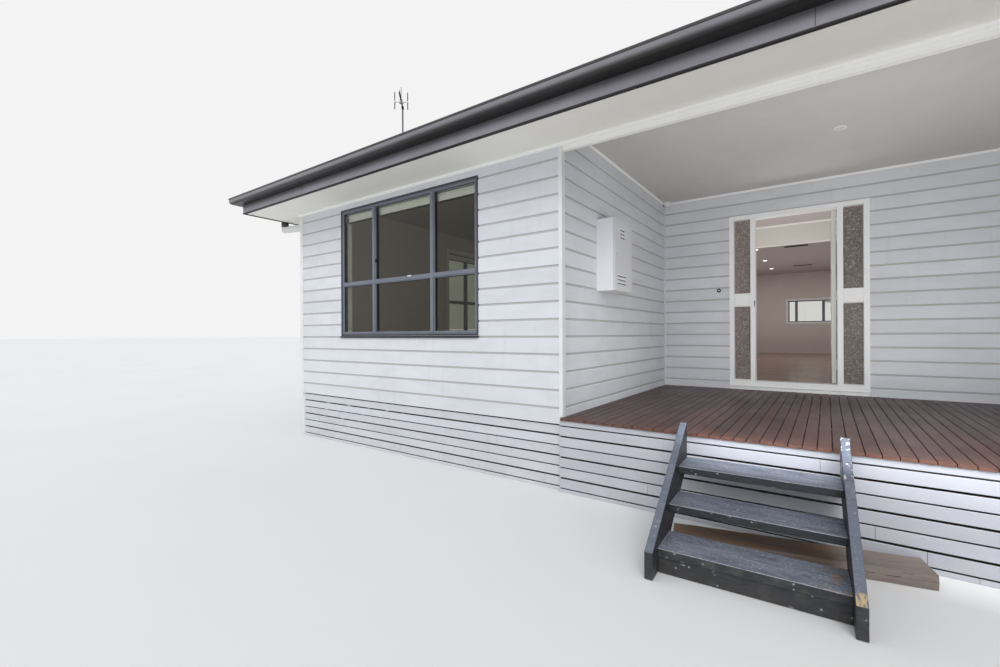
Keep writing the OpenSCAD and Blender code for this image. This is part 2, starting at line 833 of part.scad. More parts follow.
module meter_box() {
    color(trim_white) {
        difference() {
            box([-porch_half, meter_in, meter_low], [meter_front, meter_in + meter_w, meter_low + meter_h]);
            box([-porch_half + meter_t, meter_in + meter_t, meter_low + meter_t],
                [meter_front + cut, meter_in + meter_w - meter_t, meter_low + meter_h - meter_t]);
        }
        for (z = meter_hinges) meter_knuckle(z, -meter_gap - meter_flap);
    }
}

module meter_box_cover() {
    cover_x = meter_front + meter_gap;
    latch_w = 14;
    latch_h = 60;
    color(trim_white) {
        difference() {
            box([cover_x, meter_in, meter_low], [cover_x + meter_rim, meter_in + meter_w, meter_low + meter_h]);
            box([cover_x - cut, meter_in + meter_t, meter_low + meter_t],
                [cover_x + meter_rim - meter_t, meter_in + meter_w - meter_t, meter_low + meter_h - meter_t]);
        }
        for (z = meter_hinges) meter_knuckle(z + meter_knuckle_h + knuckle_gap, meter_gap / 2 + meter_flap);
        box([cover_x + meter_rim, meter_in + latch_w, meter_low + meter_h / 2 - latch_h / 2],
            [cover_x + meter_rim + latch_w / 2, meter_in + 2 * latch_w, meter_low + meter_h / 2 + latch_h / 2]);
    }
}

// Ceiling light, doorbell beside the door frame and sensor ball in the inner corner
module porch_fittings() {
    color(trim_white) {
        translate([0, (porch_d + beam_d) / 2, porch_ceiling_h - light_t])
            cylinder(r = light_r, h = light_t, $fn = round_fn);
        translate([frame_left - bell_out, porch_d, deck_h + bell_up]) rotate([90, 0, 0])
            cylinder(r = bell_r, h = bell_t, $fn = round_fn);
        translate([-porch_half + sensor_r, porch_d - sensor_r, porch_ceiling_h - sensor_drop])
            sphere(r = sensor_r, $fn = round_fn);
    }
}

module deck() {
    color(deck_red) box([-porch_half, deck_y, deck_h - deck_t], [porch_half, porch_d, deck_h]);
}

// Side outline of a stringer: back edge at the deck's front, sloping top, upright toe and sloping underside
stringer_v = stringer_d * sqrt(1 + stringer_slope * stringer_slope);
stringer_side = [[deck_y, deck_h + stringer_up], [toe_y, stringer_toe], [toe_y, 0],
    [toe_y + (stringer_v - stringer_toe) / stringer_slope, 0], [deck_y, deck_h + stringer_up - stringer_v]];

// Turns the steps, drawn square to the deck, about the right stringer's upper end
module steps_turned() {
    pivot_x = stair_right + stringer_t;
    translate([pivot_x, deck_y, 0]) rotate([0, 0, stair_turn]) translate([-pivot_x, -deck_y, 0]) children();
}

module stringer(x) {
    translate([x, 0, 0]) rotate([90, 0, 90]) linear_extrude(stringer_t) polygon(stringer_side);
}

module stringers() {
    color(step_grey) steps_turned() {
        stringer(stair_left - stringer_t);
        stringer(stair_right);
    }
}

module treads() {
    color(step_grey) steps_turned() for (i = [0:2]) {
        y = top_tread_y - i * going;
        top = bottom_tread_top + (2 - i) * step_rise;
        box([stair_left, y, top - tread_t], [stair_right, y + tread_d, top]);
    }
}

module bottom_riser() {
    y = top_tread_y - 2 * going + riser_back;
    color(step_grey) steps_turned()
        box([stair_left, y, 0], [stair_right, y + riser_t, bottom_tread_top - tread_t]);
}

module sleeper() {
    color([0.55, 0.47, 0.38]) translate([stair_right + stringer_t + sleeper_past, skirt_y, 0])
        rotate([0, 0, sleeper_turn]) box([-sleeper_l, -sleeper_d, 0], [0, 0, sleeper_h]);
}

// Mast cut to the roof's slope, with a short boom towards the front right and a cross bar that holds three rods
module antenna() {
    mast_x = -half_w + mast_in;
    mast_top = soffit_h + mast_up;
    boom_turn = -52;
    boom_t = 3 * rod_r;
    foot_w = 90;
    foot_up = 40;
    foot_h = (mast_in + eave_w) * tan(roof_pitch) + roof_v + foot_up;
    color([0.6, 0.6, 0.62]) {
        difference() {
            union() {
                translate([mast_x, mast_back, fascia_top])
                    cylinder(r = mast_r, h = mast_top - fascia_top, $fn = round_fn);
                box([mast_x - foot_w / 2, mast_back - foot_w / 2, fascia_top],
                    [mast_x + foot_w / 2, mast_back + foot_w / 2, fascia_top + foot_h]);
            }
            left_layer(-roof_rise, roof_rise + roof_t);
        }
        translate([mast_x, mast_back, mast_top - boom_t]) rotate([0, 0, boom_turn]) {
            translate([0, -boom_t / 2, -boom_t / 2]) cube([boom_l, boom_t, boom_t]);
            translate([boom_l - boom_t, -rod_span / 2 - boom_t / 2, -boom_t / 2])
                cube([boom_t, rod_span + boom_t, boom_t]);
            for (side = [-1, 0, 1])
                translate([boom_l - boom_t / 2, side * rod_span / 2, (side == 0 ? rod_up : 0) - rod_l / 2])
                    cylinder(r = rod_r, h = rod_l, $fn = round_fn);
        }
    }
}

stumps_and_bearers();
base_boards();
deck_skirting();
floor();
front_wall_left();
front_wall_right();
porch_wall_left();
porch_wall_right();
door_wall_left();
door_wall_right();
door_wall_head();
left_wall();
right_wall();
rear_wall();
ceiling();
ceiling_beam();
porch_ceiling();
porch_beam();
roof_front();
roof_left();
roof_right();
roof_rear();
roof_capping();
soffit();
fascia();
gutter();
downpipes();
corner_trims();
front_windows();
side_windows();
rear_windows();
window_glass();
door_frame();
sidelight_glass();
door_leaf();
door_handle();
meter_box();
meter_box_cover();
porch_fittings();
deck();
stringers();
treads();
bottom_riser();
sleeper();
antenna();
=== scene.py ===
import random
from math import ceil, cos, floor, pi, radians, sin, tan

import bmesh
import bpy
from mathutils import Matrix, Vector, noise


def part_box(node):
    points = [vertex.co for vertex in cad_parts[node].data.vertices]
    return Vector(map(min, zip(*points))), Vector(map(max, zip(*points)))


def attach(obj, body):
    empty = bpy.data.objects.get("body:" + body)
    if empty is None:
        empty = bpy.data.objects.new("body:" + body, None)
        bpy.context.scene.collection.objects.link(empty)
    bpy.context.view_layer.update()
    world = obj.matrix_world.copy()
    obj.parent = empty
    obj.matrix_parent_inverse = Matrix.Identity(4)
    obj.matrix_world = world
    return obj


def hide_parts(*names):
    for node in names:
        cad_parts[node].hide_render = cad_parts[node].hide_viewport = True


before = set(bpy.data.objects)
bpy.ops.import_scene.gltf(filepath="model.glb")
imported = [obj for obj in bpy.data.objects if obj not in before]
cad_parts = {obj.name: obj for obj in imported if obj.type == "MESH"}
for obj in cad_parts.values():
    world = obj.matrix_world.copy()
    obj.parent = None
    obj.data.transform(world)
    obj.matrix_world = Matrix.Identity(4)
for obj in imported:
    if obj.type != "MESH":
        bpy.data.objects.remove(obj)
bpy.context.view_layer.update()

random.seed(11)
scene = bpy.context.scene

# Camera: the eye in metres, the turn to the left and the roll in degrees, the lens in millimetres
EYE = (-0.103, -3.394, 1.305)
TURN = 35.6
ROLL = 0.25
LENS = 16.42
HORIZON_SHIFT = 0.0013

# Sizes that the fixed frame gives
bay_low, bay_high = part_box("front_wall_left")
HALF = -bay_low.x
PORCH = -bay_high.x
BAY_W = HALF - PORCH
BAY_MID = (HALF + PORCH) / 2
WALL_T = bay_high.y
WALL_LOW = bay_low.z
WALL_TOP = bay_high.z
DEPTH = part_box("rear_wall")[1].y
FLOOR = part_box("floor")[1].z
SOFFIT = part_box("soffit")[0].z
PORCH_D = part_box("door_wall_left")[0].y
PORCH_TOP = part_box("porch_ceiling")[0].z
BASE_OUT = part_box("base_boards")[0].y
fascia_low, fascia_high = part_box("fascia")
gutter_low, gutter_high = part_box("gutter")
EAVE = -fascia_low.y
deck_low, deck_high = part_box("deck")
skirt_low, skirt_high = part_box("deck_skirting")
stringer_low, stringer_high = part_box("stringers")
sleeper_low, sleeper_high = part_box("sleeper")
porch_beam_low, porch_beam_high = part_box("porch_beam")
frame_low, frame_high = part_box("door_frame")
leaf_low, leaf_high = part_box("door_leaf")
meter_low, meter_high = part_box("meter_box")
cover_low, cover_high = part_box("meter_box_cover")
bay_window_low, bay_window_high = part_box("front_windows")
WINDOW_LOW = bay_window_low.z
WINDOW_W = 2 * (bay_window_high.x - BAY_MID)
WINDOW_H = bay_window_high.z - bay_window_low.z
SIDE_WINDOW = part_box("side_windows")[0].y + WINDOW_W / 2

# Weatherboards
BOARD_PITCH = 0.1497
BOARD_LINE = 1.2855
BACK_PITCH = 0.1483
BACK_LINE = 1.298
BOARD_GAP = 0.018
BOARD_T = 0.0095
BOARD_EDGE = 0.003
BUTT_GAP = 0.0015
LONGEST_BOARD = 5.4
TRIM_W = 0.045
PORCH_TRIM_W = 0.010
PORCH_TRIM_T = 0.024
STOP_W = 0.018

# Slats of the base and of the deck's skirting
SLAT_PITCH = 0.0857
SLAT_LINE = 0.032
SLAT_GAPS = (0.0135, 0.0095)
SLAT_T = 0.020
SLAT_SKIN = 0.005
LONGEST_SLAT = 3.6

# Windows: side lights to the bar's centre, transom to its centre, frame, bar and glass depths
SIDE_LIGHT = 0.600
TRANSOM = 0.610
FRAME_W = 0.030
FRAME_IN = 0.063
BAR_HALF = 0.018
RAIL_HALF = 0.015
SASH_W = 0.012
SASH_IN = 0.048
BAR_PROUD = 0.012
GLASS_IN = 0.020
BLIND_DROP = 0.085
DINING_W = 1.100
DINING_H = 0.670
DINING_X = -0.505
DINING_SILL = 0.918
DINING_LIGHT = 0.217

# Door frame members, the doorway and the leaf, which stands open at a right angle
MEMBER = 0.052
SIDELIGHT_W = 0.182
LEAF_T = 0.040
doorway_left = frame_low.x + 2 * MEMBER + SIDELIGHT_W
doorway_right = frame_high.x - 2 * MEMBER - SIDELIGHT_W

# Deck boards
DECK_COUNT = 50
DECK_GAP = 0.005
DECK_X = PORCH - 0.012
DECK_PITCH = 2 * DECK_X / DECK_COUNT

# Steps: width over the stringers, turn in degrees, rise, going and tread
STEPS_W = 0.940
STEPS_TURN = 2.3
RISE = 0.159
GOING = 0.265
TREAD_D = 0.270
TREAD_T = 0.045

# The old sleeper behind the steps
SLEEPER_L = 1.257
SLEEPER_D = 0.215
SLEEPER_TURN = 13

# Roof sheets
ROOF_PITCH = 22.5
ROOF_T = 0.030
WAVE_PITCH = 0.076
WAVE_DEPTH = 0.016
SHEET_T = 0.0016


def move(x, y, z):
    return Matrix.Translation((x, y, z))


def spin(degrees, axis):
    return Matrix.Rotation(radians(degrees), 4, axis)


def facing(angle, x, y):
    """Place of a wall: local X to the right seen from outside, local Y into the wall."""
    return move(x, y, 0) @ spin(angle, "Z")


UPRIGHT = spin(90, "X")
HANGING = spin(180, "X")
FRONT_LEFT = facing(0, -HALF, 0)
FRONT_RIGHT = facing(0, PORCH, 0)
RIGHT_SIDE = facing(90, HALF, 0)
LEFT_SIDE = facing(-90, -HALF, DEPTH)
REAR_SIDE = facing(180, HALF, DEPTH)
PORCH_LEFT = facing(90, -PORCH, 0)
PORCH_RIGHT = facing(-90, PORCH, PORCH_D)
PORCH_BACK = facing(0, -PORCH, PORCH_D)


# Procedural materials

BLACK = (0, 0, 0)
LEVEL_GRAIN = (1.2, 1.2, 14)
UPRIGHT_GRAIN = (14, 14, 1.2)


class Look:
    """One procedural material, built up from its base colour."""

    def __init__(self, name, color, rough, metal=0.0):
        self.material = bpy.data.materials.new(name)
        self.material.use_nodes = True
        self.tree = self.material.node_tree
        self.shader = self.tree.nodes["Principled BSDF"]
        self.place = self.node("TexCoord").outputs["Object"]
        self.shade = (*color, 1.0)
        self.normal = None
        self.socket(Base_Color=self.shade, Roughness=rough, Metallic=metal)

    def node(self, kind, values=None, **settings):
        """A new node, with a value or another node's socket in each of the inputs given."""
        node = self.tree.nodes.new("ShaderNode" + kind)
        for name, setting in settings.items():
            setattr(node, name, setting)
        for name, value in (values or {}).items():
            if isinstance(value, bpy.types.NodeSocket):
                self.tree.links.new(value, node.inputs[name])
            else:
                node.inputs[name].default_value = value
        return node

    def socket(self, **values):
        """Sets the shader's own values."""
        for name, value in values.items():
            self.shader.inputs[name.replace("_", " ")].default_value = value
        return self

    def turned(self, degrees):
        """Lays what follows along a piece that is turned about Z."""
        values = {"Vector": self.place, "Rotation": (0, 0, radians(-degrees))}
        self.place = self.node("Mapping", values).outputs[0]
        return self

    def math(self, kind, a, b=0.5):
        return self.node("Math", {0: a, 1: b}, operation=kind).outputs[0]

    def axis(self, name):
        return self.node("SeparateXYZ", {0: self.place}).outputs[name]

    def scaled(self, stretch, shift):
        return self.node("Mapping", {"Vector": self.place, "Scale": stretch, "Location": shift}).outputs[0]

    def noise(self, scale, stretch=(1, 1, 1), detail=3.0, rough=0.55, shift=(0, 0, 0)):
        place = self.scaled(stretch, shift)
        values = {"Vector": place, "Scale": scale, "Detail": detail, "Roughness": rough}
        return self.node("TexNoise", values).outputs[0]

    def cells(self, scale, stretch=(1, 1, 1), shift=(0, 0, 0)):
        """Distance to the nearest of scattered points."""
        values = {"Vector": self.scaled(stretch, shift), "Scale": scale}
        return self.node("TexVoronoi", values).outputs["Distance"]

    def per_board(self, axis, pitch, offset):
        """A random number for each board of a row of the given pitch."""
        across = self.math("SUBTRACT", self.axis(axis), offset)
        index = self.math("FLOOR", self.math("DIVIDE", across, pitch))
        return self.node("TexWhiteNoise", {"W": index}, noise_dimensions="1D").outputs["Value"]

    def span(self, value, low, high):
        """A mask: 0 where value is at low, 1 at high, smooth between and held beyond."""
        values = {"Value": value, "From Min": low, "From Max": high}
        return self.node("MapRange", values, interpolation_type="SMOOTHSTEP").outputs["Result"]

    def along(self, axis, low, high):
        return self.span(self.axis(axis), low, high)

    def patches(self, low, high, *texture, **more):
        return self.span(self.noise(*texture, **more), low, high)

    def dots(self, low, high, *texture, **more):
        return self.span(self.cells(*texture, **more), low, high)

    def leaning(self, low, high):
        """A mask of how far faces look up, where 1 is straight up, 0 upright and -1 straight down."""
        normal = self.node("NewGeometry").outputs["Normal"]
        return self.span(self.node("SeparateXYZ", {0: normal}).outputs["Z"], low, high)

    def upward(self):
        return self.leaning(0.3, 0.8)

    def both(self, *masks):
        result = masks[0]
        for mask in masks[1:]:
            result = self.math("MULTIPLY", result, mask)
        return result

    def tint(self, mask, color):
        """Mixes in a colour where the mask is."""
        values = {0: mask, 6: self.shade, 7: (*color, 1.0)}
        self.shade = self.node("Mix", values, data_type="RGBA", clamp_factor=True).outputs[2]
        return self

    def wash(self, amount, color, *masks):
        """Mixes in a colour where all the masks are, up to the given amount."""
        return self.tint(self.both(*masks, amount), color)

    def mottle(self, scale, depth, stretch=(1, 1, 1), shift=(0, 0, 0)):
        """Darkens the colour by up to depth in soft patches."""
        return self.wash(depth, BLACK, self.patches(0.35, 0.7, scale, stretch, shift=shift))

    def bump(self, height, distance, strength=1.0):
        values = {"Strength": strength, "Distance": distance, "Height": height}
        if self.normal is not None:
            values["Normal"] = self.normal
        self.normal = self.node("Bump", values).outputs["Normal"]
        return self

    def rough(self, value, low, high):
        reach = self.node("MapRange", {"Value": value, "To Min": low, "To Max": high})
        self.tree.links.new(reach.outputs["Result"], self.shader.inputs["Roughness"])
        return self

    def done(self):
        if isinstance(self.shade, bpy.types.NodeSocket):
            self.tree.links.new(self.shade, self.shader.inputs["Base Color"])
        if self.normal is not None:
            self.tree.links.new(self.normal, self.shader.inputs["Normal"])
        return self.material


def painted_timber(name, color, rough, grain=LEVEL_GRAIN, boards=None, grime=0.35):
    """Painted timber: faint grain, a tone to each board, soft patches, runs, specks and dirt low down."""
    look = Look(name, color, rough)
    if boards:
        look.wash(0.07, BLACK, look.per_board("Z", *boards))
    look.mottle(0.9, 0.05)
    look.mottle(3.5, 0.05, (1, 1, 2.5), (4, 2, 9))
    look.wash(0.07, (0.30, 0.27, 0.22), look.patches(0.56, 0.75, 5, (3, 3, 0.25), shift=(7, 3, 1)))
    look.wash(0.5, (0.25, 0.22, 0.18), look.dots(0.05, 0.015, 9, shift=(3, 1, 2)))
    look.wash(grime, (0.26, 0.22, 0.17), look.along("Z", 0.45, 0.0), look.patches(0.35, 0.65, 7))
    look.rough(look.noise(6), rough - 0.08, rough + 0.12)
    look.bump(look.noise(26, grain, 5.0), 0.0011, 0.5)
    look.bump(look.noise(160, detail=2.0), 0.0004, 0.35)
    return look.done()


def smooth_paint(name, color, rough, patches=0.05):
    """Rolled paint on sheets and trims."""
    look = Look(name, color, rough)
    look.mottle(0.7, patches)
    look.mottle(6, patches * 0.6, shift=(5, 1, 3))
    look.rough(look.noise(4), rough - 0.06, rough + 0.1)
    look.bump(look.noise(230, detail=2.0), 0.0005, 0.4)
    return look.done()


def coated_steel(name, color, rough, dust=0.25):
    """Factory-painted sheet steel with dust on its upper faces, faint run marks and spots."""
    look = Look(name, color, rough)
    look.mottle(1.4, 0.18)
    look.wash(dust, (0.34, 0.31, 0.27), look.upward(), look.patches(0.3, 0.7, 5))
    look.wash(0.2, (0.20, 0.18, 0.16), look.patches(0.58, 0.78, 9, (4, 4, 0.3), shift=(2, 8, 5)))
    look.wash(0.5, (0.30, 0.27, 0.22), look.dots(0.06, 0.02, 6, shift=(1, 4, 2)))
    look.rough(look.noise(8), rough - 0.06, rough + 0.14)
    look.bump(look.noise(300, detail=1.0), 0.0002, 0.3)
    return look


def gutter_steel():
    """Mauve-grey sheet with painted shade, near black, on its underside."""
    look = coated_steel("gutter_steel", (0.222, 0.212, 0.232), 0.36)
    # Painted shade on the down-facing faces
    return look.tint(look.leaning(-0.05, -0.75), (0.014, 0.014, 0.013)).done()


def fascia_steel():
    """Mauve-grey sheet, lighter than the gutter's as painted light, with painted shade close under the
    gutter.
    """
    look = coated_steel("fascia_steel", (0.29, 0.275, 0.31), 0.45, 0.1)
    # Painted shade under the gutter
    shade_under_gutter = look.along("Z", gutter_low.z - 0.065, gutter_low.z - 0.005)
    return look.wash(0.75, (0.03, 0.03, 0.03), shade_under_gutter).done()


def powder_coat(name, color):
    """Powder-coated metal with dust on its upper faces."""
    look = Look(name, color, 0.38)
    look.mottle(3, 0.12)
    look.wash(0.3, (0.42, 0.40, 0.37), look.upward(), look.patches(0.35, 0.7, 14))
    look.rough(look.noise(20), 0.32, 0.48)
    look.bump(look.noise(700, detail=1.0), 0.00015, 0.4)
    return look.done()


def clear_glass():
    """Tinted dark as painted shade for the dim rooms behind it, and clearer in the rear wall, which is seen
    from the room side.
    """
    # Dark tint: painted shade for the dim rooms behind
    look = Look("window_glass", (0.36, 0.368, 0.318), 0.0)
    look.tint(look.along("Y", DEPTH - 0.60, DEPTH - 0.50), (0.70, 0.70, 0.66))
    look.rough(look.patches(0.62, 0.8, 1.6), 0.0, 0.03)
    look.bump(look.noise(1.1, detail=1.0), 0.003, 0.25)
    return look.socket(Transmission_Weight=1.0, IOR=1.5, Specular_Tint=(0.40, 0.40, 0.36, 1.0)).done()


def obscure_glass():
    """Rolled glass with a pebbled face, browned as painted shade for the dim room behind it, with painted
    glints and dark spots on the pebbles.
    """
    look = Look("obscure_glass", (0.45, 0.38, 0.345), 0.25)
    look.mottle(1.5, 0.25, (1, 1, 0.6))
    pebbles_glints_and_shade = look.noise(64, detail=2.0)
    # Dark spots on the pebbles: painted shade
    look.wash(0.40, (0.10, 0.080, 0.065), look.span(pebbles_glints_and_shade, 0.54, 0.35))
    # Pale spots on the pebbles: painted glints
    look.wash(0.50, (0.88, 0.82, 0.75), look.span(pebbles_glints_and_shade, 0.56, 0.66))
    look.bump(pebbles_glints_and_shade, 0.006)
    return look.socket(Transmission_Weight=0.55, IOR=1.5).done()


def polished_floor():
    """Polished boards that run from front to back, with a tone to each and dark joints."""
    pitch = 0.085
    look = Look("floor_boards", (0.27, 0.17, 0.125), 0.22)
    look.wash(0.45, (0.13, 0.075, 0.05), look.per_board("X", pitch, 0.0))
    look.tint(look.patches(0.45, 0.7, 14, (9, 0.6, 1)), (0.20, 0.12, 0.085))
    gap = look.math("FRACT", look.math("DIVIDE", look.axis("X"), pitch))
    look.tint(look.span(gap, 0.025, 0.008), (0.03, 0.02, 0.015))
    look.rough(look.noise(3), 0.16, 0.32)
    return look.done()


def deck_timber():
    """Oiled hardwood: each board its own brown, long grain, greyed wear, specks and a redder front."""
    look = Look("deck_timber", (0.075, 0.040, 0.036), 0.42)
    tone = look.per_board("X", DECK_PITCH, -DECK_X)
    look.wash(0.65, (0.043, 0.031, 0.033), tone)
    look.wash(0.35, (0.150, 0.080, 0.062), look.math("FRACT", look.math("MULTIPLY", tone, 7.3)))
    grain = look.noise(11, (12, 0.7, 6), 6.0, 0.65)
    look.wash(0.5, (0.040, 0.025, 0.025), look.span(grain, 0.42, 0.68))
    look.wash(0.45, (0.165, 0.140, 0.142), look.patches(0.42, 0.72, 1.1),
              look.patches(0.3, 0.6, 22, (5, 0.8, 1)))
    look.wash(0.55, (0.33, 0.26, 0.20), look.dots(0.05, 0.02, 11, shift=(2, 5, 1)))
    look.wash(0.6, (0.150, 0.062, 0.042), look.along("Y", deck_low.y + 0.30, deck_low.y + 0.02),
              look.patches(0.30, 0.65, 6, (2, 1, 1)))
    look.wash(0.6, (0.17, 0.085, 0.060), look.along("Y", deck_low.y + 0.012, deck_low.y + 0.006),
              look.patches(0.35, 0.60, 30, (1, 1, 2), shift=(1, 1, 6)))
    look.rough(look.noise(5, (1, 0.4, 1)), 0.32, 0.60)
    look.bump(grain, 0.0016, 0.7)
    return look.socket(Specular_IOR_Level=0.3).done()


def step_paint(name, chips_and_edge_highlight, dust_share_vs_sky_light=1.0):
    """Charcoal deck paint on the steps, with dust, chips, drips, soil and bare wood where it is worn, and
    painted sky light and highlights on the tops and edges.
    """
    look = Look(name, (0.022, 0.024, 0.030), 0.5)
    top = look.upward()
    look.mottle(2.2, 0.22)
    look.wash(0.35, (0.055, 0.061, 0.078), look.patches(0.4, 0.7, 16, (1, 5, 5)))
    # Pale streaky dust, scuffs, grit and rubbed edges on top; the tops are also lighter and bluer as painted
    # sky light, plainly so where there is less dust
    look.wash(0.9 * (1 - dust_share_vs_sky_light), (0.155, 0.180, 0.240), top)
    look.wash(0.9 * dust_share_vs_sky_light, (0.220, 0.250, 0.320), top,
              look.patches(0.26, 0.60, 7, (0.7, 7, 1), 6.0, 0.75, shift=(1, 1, 1)))
    look.wash(0.45 * dust_share_vs_sky_light, (0.31, 0.33, 0.37), top,
              look.patches(0.50, 0.74, 3.2, (1, 2.4, 1), shift=(6, 2, 1)))
    look.wash(0.55 * dust_share_vs_sky_light, (0.42, 0.45, 0.50), top,
              look.patches(0.55, 0.68, 70, detail=2.0, shift=(8, 1, 3)))
    # Rubbed front edges: wear with a painted highlight along them
    if chips_and_edge_highlight:
        look.wash(0.75, (0.46, 0.48, 0.52), top, look.patches(0.28, 0.50, 12, (1, 0.3, 1), shift=(4, 1, 1)))
    chips = look.patches(0.66 - chips_and_edge_highlight, 0.73 - chips_and_edge_highlight, 38, (0.6, 1, 1), 5.0, shift=(9, 2, 4))
    look.wash(0.6, (0.40, 0.41, 0.42), chips)
    look.wash(0.7, (0.52, 0.53, 0.54), look.dots(0.11, 0.05, 17, shift=(3, 3, 6)))
    # Moss and soil near the ground
    look.wash(0.25, (0.120, 0.125, 0.095), look.along("Z", 0.17, 0.12),
              look.patches(0.48, 0.70, 13, detail=5.0))
    look.wash(0.6, (0.050, 0.042, 0.034), look.along("Z", 0.10, 0.0), look.patches(0.25, 0.6, 9))
    # White drips on the right stringer's upper part
    right_side = look.along("X", stringer_low.x + 0.70, stringer_low.x + 0.80)
    look.wash(0.9, (0.68, 0.69, 0.70), right_side, look.along("Z", 0.44, 0.56),
              look.patches(0.56, 0.60, 34, (1, 1, 0.6), 4.0, shift=(1, 7, 2)))
    # Bare wood on the right stringer's slope over its toe, and splinters at the lowest tread's right end
    toe = stringer_low.y + STEPS_W * sin(radians(STEPS_TURN))
    bare = look.both(right_side, top, look.along("X", stringer_high.x - 0.050, stringer_high.x - 0.046),
                     look.along("Y", toe + 0.060, toe + 0.045),
                     look.patches(0.40, 0.50, 30, (2.5, 0.7, 1), shift=(2, 2, 2)))
    look.tint(bare, (0.50, 0.37, 0.20))
    look.wash(0.8, (0.36, 0.19, 0.10), look.along("X", stringer_high.x - 0.20, stringer_high.x - 0.13),
              look.along("Z", 0.128, 0.136), top, look.along("Z", 0.150, 0.142),
              look.patches(0.57, 0.62, 26, (1, 3, 1), shift=(5, 5, 3)))
    look.rough(look.noise(7), 0.38, 0.62)
    look.bump(look.noise(22, (1, 8, 8), 6.0), 0.0016, 0.6)
    look.bump(chips, 0.0006, 0.6)
    return look.done()


def weathered_timber(name, color, grain, turn=0):
    """Bare old timber with long cracks and grey patches."""
    look = Look(name, color, 0.8).turned(turn)
    fibre = look.noise(9, grain, 7.0, 0.68)
    look.wash(0.5, tuple(c * 0.45 for c in color), look.span(fibre, 0.40, 0.66))
    look.wash(0.45, tuple(c * 1.15 for c in color), look.patches(0.45, 0.7, 3))
    cracks = look.patches(0.36, 0.30, 5, tuple(g * 1.6 for g in grain), shift=(4, 4, 4))
    look.wash(0.85, (0.03, 0.022, 0.016), cracks)
    return look.bump(fibre, 0.004, 0.9)


def sleeper_timber():
    """Grey old timber, redder where the steps shelter it."""
    look = weathered_timber("sleeper_timber", (0.23, 0.190, 0.168), (0.8, 9, 9), SLEEPER_TURN)
    turn = radians(SLEEPER_TURN)
    shelter = (stringer_high.x - 0.1) * cos(turn) + (sleeper_low.y + sleeper_high.y) / 2 * sin(turn)
    look.wash(0.75, (0.30, 0.17, 0.09), look.along("X", shelter + 0.06, shelter - 0.06),
              look.patches(0.25, 0.6, 6, (0.5, 3, 3), shift=(2, 6, 1)))
    return look.done()


def plain_metal(name, color, rough, metal):
    look = Look(name, color, rough, metal)
    look.mottle(9, 0.2)
    look.rough(look.noise(30, (1, 1, 6)), rough - 0.08, rough + 0.15)
    return look.done()


def glowing(name, color, strength):
    look = Look(name, color, 0.4)
    look.mottle(20, 0.03)
    return look.socket(Emission_Color=(*color, 1.0), Emission_Strength=strength).done()


# Geometry

class Solids:
    """Closed solids gathered into one object. Each face carries the number of its material."""

    def __init__(self):
        self.points = []
        self.faces = []
        self.kinds = []

    def add(self, points, faces, kind=0, place=None):
        first = len(self.points)
        for point in points:
            self.points.append(place @ Vector(point) if place else Vector(point))
        for face in faces:
            self.faces.append([first + i for i in face])
            self.kinds.append(kind)

    def block(self, low, high, kind=0, place=None):
        (x0, y0, z0), (x1, y1, z1) = low, high
        points = [(x, y, z) for z in (z0, z1) for x, y in ((x0, y0), (x1, y0), (x1, y1), (x0, y1))]
        faces = [(3, 2, 1, 0), (4, 5, 6, 7), (0, 1, 5, 4), (1, 2, 6, 5), (2, 3, 7, 6), (3, 0, 4, 7)]
        self.add(points, faces, kind, place)

    def loops(self, rings, kind=0, place=None, closed=False):
        """A skin through rings of as many points each, with end caps unless the last meets the first."""
        n = len(rings[0])
        points = [p for ring in rings for p in ring]
        faces = []
        for r in range(len(rings) if closed else len(rings) - 1):
            a, b = r * n, (r + 1) % len(rings) * n
            faces += [(a + i, a + (i + 1) % n, b + (i + 1) % n, b + i) for i in range(n)]
        if not closed:
            faces += [tuple(range(n))[::-1], tuple(range(len(points) - n, len(points)))]
        self.add(points, faces, kind, place)

    def run(self, path, outline, kind=0, place=None, closed=False):
        """A mitred moulding along a path in plan: outline holds (to the right, up) pairs."""
        path = [Vector(p) for p in path]

        def right(a, b):
            ahead = (b - a).normalized()
            return Vector((ahead.y, -ahead.x))

        rings = []
        for i, p in enumerate(path):
            before = right(path[i - 1], p) if closed or i > 0 else None
            after = right(p, path[(i + 1) % len(path)]) if closed or i < len(path) - 1 else None
            if before is None or after is None:
                side = after or before
            else:
                side = (before + after) / (1 + before.dot(after))
            rings.append([(p.x + side.x * out, p.y + side.y * out, z) for out, z in outline])
        self.loops(rings, kind, place, closed)

    def extrude(self, outline, x0, x1, kind=0, place=None):
        """A prism along local X of an outline of (Y, Z) pairs."""
        self.loops([[(x, y, z) for y, z in outline] for x in (x0, x1)], kind, place)

    def lathe(self, outline, kind=0, place=None, steps=24):
        """A turned solid about local Z: outline holds (radius, Z) pairs from one end to the other."""
        turns = [2 * pi * i / steps for i in range(steps)]
        rings = [[(r * cos(t), r * sin(t), z) for t in turns] for r, z in outline]
        self.loops(rings, kind, place)

    def tube(self, path, radius, kind=0, place=None, steps=12):
        """A round bar along a path of points."""
        path = [Vector(p) for p in path]
        rings = []
        side = Vector((0, 0, 1))
        for i, p in enumerate(path):
            ahead = (path[min(i + 1, len(path) - 1)] - path[max(i - 1, 0)]).normalized()
            if abs(side.dot(ahead)) > 0.9:
                side = Vector((1, 0, 0))
            side = (side - ahead * side.dot(ahead)).normalized()
            up = ahead.cross(side)
            rings.append([p + radius * (cos(t) * side + sin(t) * up)
                          for t in (2 * pi * k / steps for k in range(steps))])
        self.loops(rings, kind, place)

    def build(self, name, slot, *materials, body="house", edge=0.0, curved=False, stands_for=None):
        mesh = bpy.data.meshes.new(name)
        mesh.from_pydata(self.points, [], self.faces)
        for material in materials:
            mesh.materials.append(material)
        mesh.polygons.foreach_set("material_index", self.kinds)
        return place_piece(name, mesh, body, edge, curved, stands_for)


